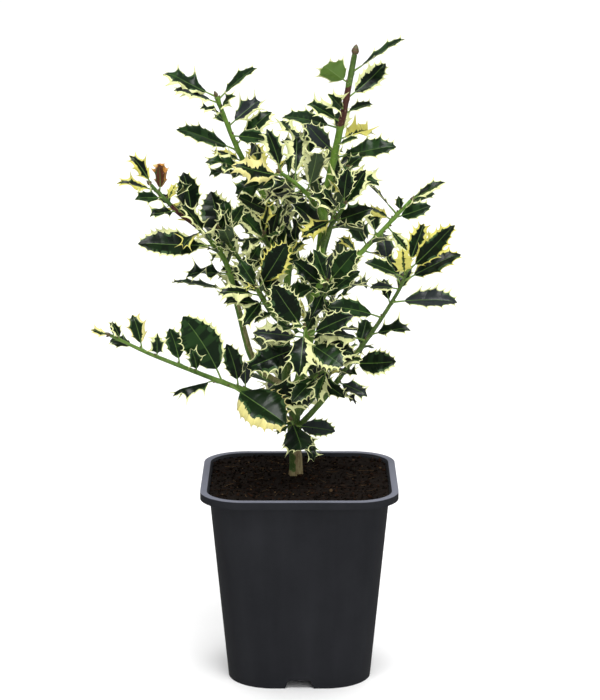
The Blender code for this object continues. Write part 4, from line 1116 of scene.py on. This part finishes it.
# flat leaves with fine teeth, and wavy ones with a few strong spines
leafHabits = dict(
    flat=dict(spacing=5.2, length=(1.8, 2.8), valley=0.93, wave=(0.02, 0.07), lift=0.40,
              fold=(0.12, 0.28), curl=(0.02, 0.10), nod=0.02),
    smooth=dict(spacing=6.8, length=(2.0, 3.4), valley=0.90, wave=(0.03, 0.10), lift=0.55,
                fold=(0.20, 0.50), curl=(0.02, 0.16), nod=0.04),
    wavy=dict(spacing=8.4, length=(3.0, 4.6), valley=0.84, wave=(0.14, 0.38), lift=0.85,
              fold=(0.20, 0.75), curl=(0.05, 0.35), nod=0.10),
    young=dict(spacing=6.0, length=(2.6, 3.8), valley=0.86, wave=(0.06, 0.20), lift=0.60,
               fold=(0.20, 0.70), curl=(0.02, 0.30), nod=0.10),
)

leafColours = dict(  # colour, roughness and coat
    leafDeep=((0.0022, 0.0070, 0.0026), 0.30, 0.0),
    leafDark=((0.0047, 0.0160, 0.0037), 0.31, 0.0),
    leafGreen=((0.0130, 0.0400, 0.0078), 0.32, 0.0),
    leafGrey=((0.0380, 0.0820, 0.0280), 0.32, 0.08),
    leafCream=((0.720, 0.750, 0.360), 0.40, 0.05),
    leafYellow=((0.610, 0.570, 0.130), 0.38, 0.05),
    leafButter=((0.700, 0.640, 0.250), 0.40, 0.05),
    # leafSlate is painted sheen: a grey-blue tone for the glancing sheen of glossy leaves
    leafSlate=((0.020, 0.026, 0.027), 0.30, 0.0),
    leafRusset=((0.480, 0.225, 0.045), 0.40, 0.0),
    leafRust=((0.085, 0.028, 0.012), 0.36, 0.0),
    leafRib=((0.0900, 0.1700, 0.0350), 0.36, 0.10),
    leafUnder=((0.0480, 0.0780, 0.0360), 0.50, 0.05),
    leafUnderCream=((0.620, 0.640, 0.320), 0.50, 0.05),
    leafUnderRib=((0.180, 0.270, 0.085), 0.50, 0.05),
    leafStalk=((0.150, 0.240, 0.050), 0.42, 0.15),
    leafTender=((0.100, 0.185, 0.034), 0.34, 0.0),
)
leafKinds = list(leafColours)


def leafMaterial(name):
    colour, roughness, coat = leafColours[name]
    look = dict(colour=colour, roughness=roughness, coat=coat, specular=leafLook["specular"])
    material, shader, tree = newMaterial(name, look)
    pores = tree.noise(1500.0, detail=3.0)
    swells = tree.noise(220.0, detail=3.0)
    feed(shader, "Roughness", swells * 0.14 + pores * 0.06 + (roughness - 0.10))
    addRelief(shader, pores * 0.35 + swells, 0.00022, 0.55)
    return material


def leafGrid(spines):  # the template of a leaf with that many spines a side
    look = leafLook
    rows = look["petioleRows"] + len(look["scallop"]) * (spines + 1)
    bm = bmesh.new()
    bmesh.ops.create_grid(bm, x_segments=look["strips"], y_segments=rows, size=0.5)
    bmesh.ops.solidify(bm, geom=bm.faces[:], thickness=0.1)
    spots, faces = toArrays(bm)
    column = np.rint((spots[:, 0] + 0.5) * look["strips"]).astype(int)
    row = np.rint((spots[:, 1] + 0.5) * rows).astype(int)
    under = (spots[:, 2] < -0.05).astype(int)
    middles = np.array([[column[list(face)].mean(), row[list(face)].mean(), under[list(face)].mean()]
                        for face in faces])
    strip = np.clip(middles[:, 0].astype(int), 0, look["strips"] - 1)
    level = np.clip(middles[:, 1].astype(int), 0, rows - 1)
    fromEdge = np.minimum(strip, look["strips"] - 1 - strip)
    steps = [0.0]
    phases = [0.0]
    for scallop in range(spines + 1):
        start = 0.0 if scallop == 0 else (scallop - 0.35) / (spines + 0.15)
        end = 1.0 if scallop == spines else (scallop + 0.65) / (spines + 0.15)
        for part in look["scallop"]:
            steps.append(start + (end - start) * part)
            phases.append(scallop + part)
    blade = np.array(steps)
    phase = np.array(phases)
    return dict(spines=spines, rows=rows, column=column, row=row, under=under, faces=faces, strip=strip,
                level=level, side=middles[:, 2], fromEdge=fromEdge, blade=blade, phase=phase)


def marginWidths(grid, widths, rng):  # share of the half width that is pale, by row and side
    look = leafLook
    shares = np.zeros((grid["rows"] + 1, 2))
    for side, width in enumerate(widths):
        knots = [width * rng.uniform(0.45, 1.55) for _ in range(grid["spines"] + 3)]
        if width > 0.85:
            knots = [width] * len(knots)
        for level in range(grid["rows"] + 1):
            place = max(level - look["petioleRows"], 0) / len(look["scallop"])
            k = int(place)
            value = knots[k] + (knots[k + 1] - knots[k]) * (place - k)
            shares[level, side] = value * rng.uniform(0.78, 1.22)
    return np.clip(shares, look["leastPale"], look["mostPale"])


def leafOutline(grid, length, half, habit):  # by row: an oval, hollow between the spines
    look = leafLook
    petiole = look["petioleRows"]
    blade = np.concatenate([np.zeros(petiole), grid["blade"]])
    phase = np.concatenate([np.zeros(petiole), grid["phase"]])
    isBlade = (np.arange(grid["rows"] + 1) > petiole).astype(float)
    oval = np.sin(np.pi * np.clip(blade, 0, 1) ** 0.85) ** 0.75
    part = phase - np.floor(phase)
    spacing = length * (1 - leafPlan["petiole"]) / (grid["spines"] + 0.15)
    after, before = look["spineBase"]
    last = grid["spines"] + 0.5
    spike = np.where(phase > 0.5, np.exp(-part * spacing / after), 0.0)
    spike = np.maximum(spike, np.where(phase < last, np.exp(-(1 - part) * spacing / before), 0.0))
    spike = np.where((phase < 0.9) & (part < 0.05), 0.0, spike) * isBlade
    spike = np.where(phase >= grid["spines"] + 0.95, 0.0, spike)
    hollow = 1 - (1 - habit["valley"]) * np.sin(np.pi * part) ** 0.8
    reach = np.maximum(half * oval * hollow * look["spread"] * 0.92, 0.10 + 0.5 * (1 - isBlade))
    return blade, phase, isBlade, part, spike, reach


def roundStalk(u, length, across, x, top, bottom):  # a round stalk that turns flat at the blade
    look = leafLook
    petiole = look["petioleRows"]
    radius = look["petioleRadius"] * (0.75 + 0.25 * min(length / 45, 1.3))
    radius = radius + look["baseSwell"] * np.exp(-u / 0.025)
    roundness = np.clip(1.35 - np.arange(len(u)) / (petiole + 1.0), 0, 1) ** 0.7
    roundness[petiole + 2:] = 0.0
    turn = across * (math.pi / 2 * 0.93)
    mixed = roundness[:, None]
    x = x * (1 - mixed) + np.sin(turn) * radius[:, None] * mixed
    top = top * (1 - mixed) + np.cos(turn) * radius[:, None] * mixed
    bottom = bottom * (1 - mixed) - np.cos(turn) * radius[:, None] * mixed
    return x, top, bottom


def layLeaf(leaf, place, twist, x, top, bottom):  # lay both faces along the leaf's centre line
    root, tip, out, face = (np.array(leaf[key]) for key in ("root", "tip", "out", "face"))
    length = np.linalg.norm(tip - root)
    bend = root * 0.55 + tip * 0.45 + out * length * 0.10 + face * length * leaf["arch"]
    t = place[:, :, None]
    centre = root * (1 - t) ** 2 + bend * 2 * t * (1 - t) + tip * t * t
    way = (bend - root) * (1 - t) + (tip - bend) * t
    way /= np.linalg.norm(way, axis=2, keepdims=True)
    up = face - way * (way @ face)[:, :, None]
    up /= np.linalg.norm(up, axis=2, keepdims=True)
    beside = np.cross(way, up)
    turn = (leaf.get("roll", 0.0) + twist * (place - 0.35))[:, :, None]
    up, beside = up * np.cos(turn) + beside * np.sin(turn), beside * np.cos(turn) - up * np.sin(turn)
    return np.stack([centre + beside * x[:, :, None] + up * height[:, :, None] for height in (top, bottom)])


def leafPoints(leaf, grid, margins, habit, rng):
    look = leafLook
    strips, rows, petiole = look["strips"], grid["rows"], look["petioleRows"]
    length = np.linalg.norm(np.array(leaf["tip"]) - np.array(leaf["root"]))
    half = leaf["width"] / 2
    stalk = leafPlan["petiole"]
    u = np.concatenate([np.arange(petiole) / petiole * stalk, stalk + (1 - stalk) * grid["blade"]])
    blade, phase, isBlade, part, spike, reach = leafOutline(grid, length, half, habit)
    ribHalf = np.clip(look["ribWidth"] * (1 - 0.7 * blade) / np.maximum(reach, 0.3), 0.02, 0.5)
    spine = rng.uniform(*habit["length"]) * min(1.0, length / 34) ** 0.5
    wavy = rng.uniform(*habit["wave"])
    curl = leaf.get("curl", rng.uniform(*habit["curl"]))
    fold = leaf.get("fold", rng.uniform(*habit["fold"]))
    twist = rng.uniform(-1, 1) * look["twist"] * (0.3 if "order" in leaf else 1.0)
    across = np.zeros((rows + 1, strips + 1))
    spikes = np.zeros_like(across)
    wave = np.zeros_like(across)
    for side, sign in enumerate((-1, 1)):
        m = margins[:, side]
        ladder = [np.ones_like(m), 1 - 0.34 * m, 1 - 0.68 * m, 1 - m]
        left = np.maximum(ladder[3] - ribHalf, 0.01)
        ladder += [ribHalf + left * 0.74, ribHalf + left * 0.36, ribHalf]
        even = look["evenColumns"]
        lift = look["spineShape"]
        bends = np.array([rng.uniform(0.2, 1.2) for _ in range(grid["spines"] + 3)])
        swing = np.interp(phase, np.arange(len(bends)), bends)
        sway = np.cos(math.pi * (phase + rng.uniform(-0.25, 0.25))) * swing * rng.choice((-1, 1))
        for k in range(7):
            column = k if side == 0 else strips - k
            place = np.where(isBlade > 0, ladder[k], even[k])
            across[:, column] = sign * place
            spikes[:, column] = spike * lift[k]
            wave[:, column] = sway * place ** 1.6
    size = np.abs(across)
    x = across * reach[:, None] + np.sign(across) * spikes * spine
    lean = look["spineLean"] * spikes * spine / length
    shift = look["slant"] * (size * reach[:, None] / max(half, 1)) * (blade * (1 - blade) * 4)[:, None]
    place = np.clip(u[:, None] + (lean + shift) * isBlade[:, None], 0, 1)
    veins = np.sin(np.pi * part)[:, None] * (size * (1 - size) * 4)
    z = fold * np.abs(x) * isBlade[:, None]
    body = np.minimum(1, reach / 4) * isBlade
    z += (wave * wavy * half * 1.6) * (body * np.sin(np.pi * np.clip(blade, 0, 1)) ** 0.5)[:, None]
    z += spikes * spine * habit["lift"] * np.sign(wave)
    z += (veins * look["quilt"] - curl * half * size ** 4) * body[:, None]
    z -= (habit["nod"] * length * np.clip((blade - 0.72) / 0.28, 0, 1) ** 2)[:, None]
    thick = look["thickness"][0] + (look["thickness"][1] - look["thickness"][0]) * size
    thick = np.minimum(thick, 0.16 + reach[:, None] * 0.3)
    ridge = (size <= ribHalf[:, None] + 1e-6) * look["rib"] * (1 - 0.8 * blade)[:, None]
    top = z + thick / 2 - ridge * 0.30
    bottom = z - thick / 2 - ridge
    x, top, bottom = roundStalk(u, length, across, x, top, bottom)
    layers = layLeaf(leaf, place, twist, x, top, bottom)
    return layers[grid["under"], grid["row"], grid["column"]]


def leafFaceKinds(leaf, grid, rng):  # the colour of each face
    look = leafLook
    index = {name: k for k, name in enumerate(leafKinds)}
    pale = leaf.get("pale", "leafCream")
    dark = leaf["green"]
    second = dict(leafDark="leafGreen", leafDeep="leafDark").get(dark, dark)
    underKinds = {0: "leafUnderCream", 1: "leafUnderCream", 2: "leafUnderCream", 6: "leafUnderRib"}
    scallops = grid["spines"] + 2
    patch = [[rng.random() for _ in range(scallops)] for _ in range(2)]
    kinds = []
    for strip, level, side, edge in zip(grid["strip"], grid["level"], grid["side"], grid["fromEdge"]):
        half = 0 if strip < look["strips"] / 2 else 1
        scallop = max(int(level) - look["petioleRows"], 0) // len(look["scallop"])
        chance = rng.random()
        if level < look["petioleRows"]:
            kind = "leafStalk"
        elif side > 0.75:
            kind = underKinds.get(edge, leaf["under"])
        elif side > 0.25 or edge < 3:
            kind = pale
        elif edge == 3 and (patch[half][scallop] > 0.72 or chance < 0.06):
            kind = "leafGrey"
        elif edge == 3:
            kind = second if chance < 0.6 else dark
        elif edge == 6:
            kind = "leafRib" if level < grid["rows"] * 0.85 else dark
        else:
            kind = second if patch[half][scallop] < 0.24 or chance < 0.04 else dark
        kinds.append(index[kind])
    return kinds


def paleness(rng):  # how wide the pale margin is on each side
    chance = rng.random()
    if chance < 0.56:
        return [rng.uniform(0.03, 0.09), rng.uniform(0.03, 0.09)]
    if chance < 0.82:
        wide = [rng.uniform(0.08, 0.22), rng.uniform(0.28, 0.65)]
        rng.shuffle(wide)
        return wide
    return [rng.uniform(0.32, 0.7), rng.uniform(0.32, 0.7)]


def dressLeaf(leaf, grids, rng):
    length = (leaf["tip"] - leaf["root"]).length
    kind = rng.choices(("flat", "smooth", "wavy"), leafLook["habits"])[0]
    habit = leafHabits[leaf.get("habit", kind if length > leafLook["young"] else "young")]
    # leafSlate among the top and under colours is painted sheen, not the leaf's own colour
    leaf.setdefault("green", rng.choices(("leafDeep", "leafDark", "leafSlate"), leafLook["greens"])[0])
    leaf.setdefault("under", rng.choices(("leafUnder", "leafSlate"), leafLook["unders"])[0])
    fewest, most = leafLook["spineCount"]
    spines = min(max(round(length * 0.87 / habit["spacing"]), fewest), most)
    if spines not in grids:
        grids[spines] = leafGrid(spines)
    grid = grids[spines]
    widths = leaf.get("margins") or paleness(rng)
    if min(widths) > 0.3 and rng.random() < 0.5:
        leaf.setdefault("pale", "leafYellow")
    margins = marginWidths(grid, widths, rng)
    points = leafPoints(leaf, grid, margins, habit, rng)
    return points, grid["faces"], leafFaceKinds(leaf, grid, rng)


fillPlan = dict(
    step=15.0, length=(18, 34), tries=5, tuft=4, noTuft=("leader", "upright", "heart", "low_front"),
    noFill=("leader", "low_left"), backStep=5.5, backFrom=40.0, backHalf=44.0, backHeights=(245.0, 405.0),
    tuftLength=(10, 18), tuftSpread=(0.45, 1.15), spread=(45, 80), turn=0.9,
)


def outwards(direction, turn):  # square to a direction, turned round it
    return Matrix.Rotation(turn, 3, direction) @ direction.orthogonal().normalized()


def isFree(leaf, limb, stems, placed, low, high):  # inside the plant's reach and clear of the rest
    inside = all(low[i] < leaf["tip"][i] < high[i] for i in range(3))
    return inside and leafIsClear(leaf, limb["name"], stems, placed)


def youngLeaves(limb, stems, placed, room):  # the tuft round a shoot's bud
    rng = random.Random(900 + round(limb["span"] * 10))
    low, high = room
    tuft = []
    for k in range(fillPlan["tuft"]):
        share = 1.0 - 0.012 * rng.random() - 2.0 / limb["span"] * (k % 3)
        root, direction = along(limb["path"], share)
        spread = rng.uniform(*fillPlan["tuftSpread"])
        out = outwards(direction, k * leafPlan["goldenTurn"])
        way = direction * math.cos(spread) + out * math.sin(spread)
        tip = root + way.normalized() * rng.uniform(*fillPlan["tuftLength"])
        hint = direction * 0.8 + Vector((0, -0.4, 0.6))
        leaf = makeLeaf(limb, share, tip, hint, rng)
        if isFree(leaf, limb, stems, placed, low, high):
            leaf["green"] = rng.choice(("leafGreen", "leafTender", "leafDark"))
            tuft.append(leaf)
    return tuft


def fillLeaves(limb, stems, placed, room):  # smaller leaves between those of the rule
    rng = random.Random(300 + round(limb["span"] * 10))
    low, high = room
    more = []
    isBack = limb["path"][-1].y > fillPlan["backFrom"]
    start = limb["bare"] * 0.9
    count = round(limb["span"] * (1 - start) / fillPlan["backStep" if isBack else "step"])
    if isBack:  # the crown is thickest in the middle of its back
        bottom, top = fillPlan["backHeights"]
        low = Vector((-fillPlan["backHalf"], low.y, bottom))
        high = Vector((fillPlan["backHalf"], high.y, top))
    for k in range(count):
        share = start + (1 - start) * (k + rng.random()) / count
        root, direction = along(limb["path"], share)
        size = rng.uniform(*fillPlan["length"])
        spread = math.radians(rng.uniform(*fillPlan["spread"]))
        hint = Vector((rng.uniform(-0.5, 0.5), rng.uniform(-0.9, 0.1), 1)) + direction * 0.4
        for attempt in range(fillPlan["tries"]):
            out = outwards(direction, k * leafPlan["goldenTurn"] + attempt * fillPlan["turn"])
            way = out * math.sin(spread) + direction * math.cos(spread) + Vector((0, 0, 0.15))
            tip = root + way.normalized() * size
            leaf = makeLeaf(limb, share, tip, hint, rng)
            if isFree(leaf, limb, stems, placed, low, high):
                more.append(leaf)
                break
    return more


def makeLeaves(limbs, planned, stems, placed):
    materials = [leafMaterial(name) for name in leafKinds]
    grids = {}
    room = [Vector(corner) / mm for corner in cadBox]
    for index, (name, limb) in enumerate(limbs.items()):
        rng = random.Random(5000 + index)
        for leaf in planned[name]:
            leaf.update(leafNotes.get((name, leaf.get("order")), {}))
        more = [] if name in fillPlan["noFill"] else fillLeaves(limb, stems, placed, room)
        if name not in fillPlan["noTuft"]:
            more += youngLeaves(limb, stems, placed, room)
        parts = [dressLeaf(leaf, grids, rng) for leaf in planned[name] + more]
        mesh = joinArrays("leaves_" + name, parts)
        piece = newPiece("leaves_" + name, mesh, materials, 60)
        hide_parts("foliage_" + name)
        print("leaves of", name, "made:", len(parts))


# Buds

budLook = dict(
    top=(8.5, 2.9), tip=(5.4, 1.5), axil=(2.3, 0.85), scales=(0.4, 1.9, 3.4, 5.0), rows=3.0, step=0.10,
    green=(0.085, 0.085, 0.030), brown=(0.10, 0.050, 0.028),
)


def budShape():  # a pointed egg with the steps of its scales
    bm = bmesh.new()
    bmesh.ops.create_uvsphere(bm, u_segments=10, v_segments=12, radius=1.0)
    for vert in bm.verts:
        height = (vert.co.z + 1) / 2
        turn = math.atan2(vert.co.y, vert.co.x)
        row = height * budLook["rows"] + 0.5 * math.sin(turn * 2)
        scale = 1 + budLook["step"] * (1 - row % 1.0)
        wide = math.sin(math.pi * height ** 0.62) ** 0.7 * scale
        flat = Vector((vert.co.x, vert.co.y, 0))
        if flat.length > 1e-4:
            flat = flat.normalized() * wide
        vert.co = Vector((flat.x, flat.y, height))
    points, faces = toArrays(bm)
    middles = [sum(points[k][2] for k in face) / len(face) for face in faces]
    return points, faces, [int((middle * budLook["rows"]) % 1.0 > 0.62) for middle in middles]


def placedBud(shape, spot, direction, length, radius):
    points, faces, kinds = shape
    turn = np.array(direction.to_track_quat("Z", "Y").to_matrix())
    return (points * (radius, radius, length)) @ turn.T + np.array(spot), faces, kinds


def makeBuds(limbs, planned):
    shape = budShape()
    parts = []
    for name, limb in limbs.items():
        spot, direction = along(limb["fine"], 1.0)
        length, radius = budLook["tip" if limb["parent"] else "top"]
        wide = max(radius, limb["tip"] * 1.05)
        parts.append(placedBud(shape, spot - direction * 1.4, direction, length, wide))
        for turn in budLook["scales"] if limb["parent"] is None else ():
            lean = (direction + Vector((math.cos(turn), math.sin(turn), 0)) * 0.32).normalized()
            parts.append(placedBud(shape, spot - direction * 2.0, lean, length * 0.72, radius * 0.55))
        for leaf in planned[name]:
            share = min(leaf["share"] + 1.6 / limb["span"], 1.0)
            spot, direction = along(limb["fine"], share)
            way = (leaf["out"] + direction * 0.9).normalized()
            base = spot + leaf["out"] * radiusAt(limb, share) * 0.75
            parts.append(placedBud(shape, base, way, *budLook["axil"]))
    mesh = joinArrays("buds", parts)
    materials = []
    for label in ("green", "brown"):
        look = dict(colour=budLook[label], roughness=0.5, coat=0.1)
        material, shader, tree = newMaterial("bud" + label.capitalize(), look)
        addRelief(shader, tree.noise(1600.0), 0.0002, 0.7)
        materials.append(material)
    piece = newPiece("buds", mesh, materials, 50)


limbs = planLimbs()
planned, stems, placed = planLeaves(limbs)
print("plant planned:", sum(len(leaves) for leaves in planned.values()), "leaves")
makeWood(limbs, planned)
print("wood made")
makeLeaves(limbs, planned, stems, placed)
makeBuds(limbs, planned)
print("leaves and buds made")
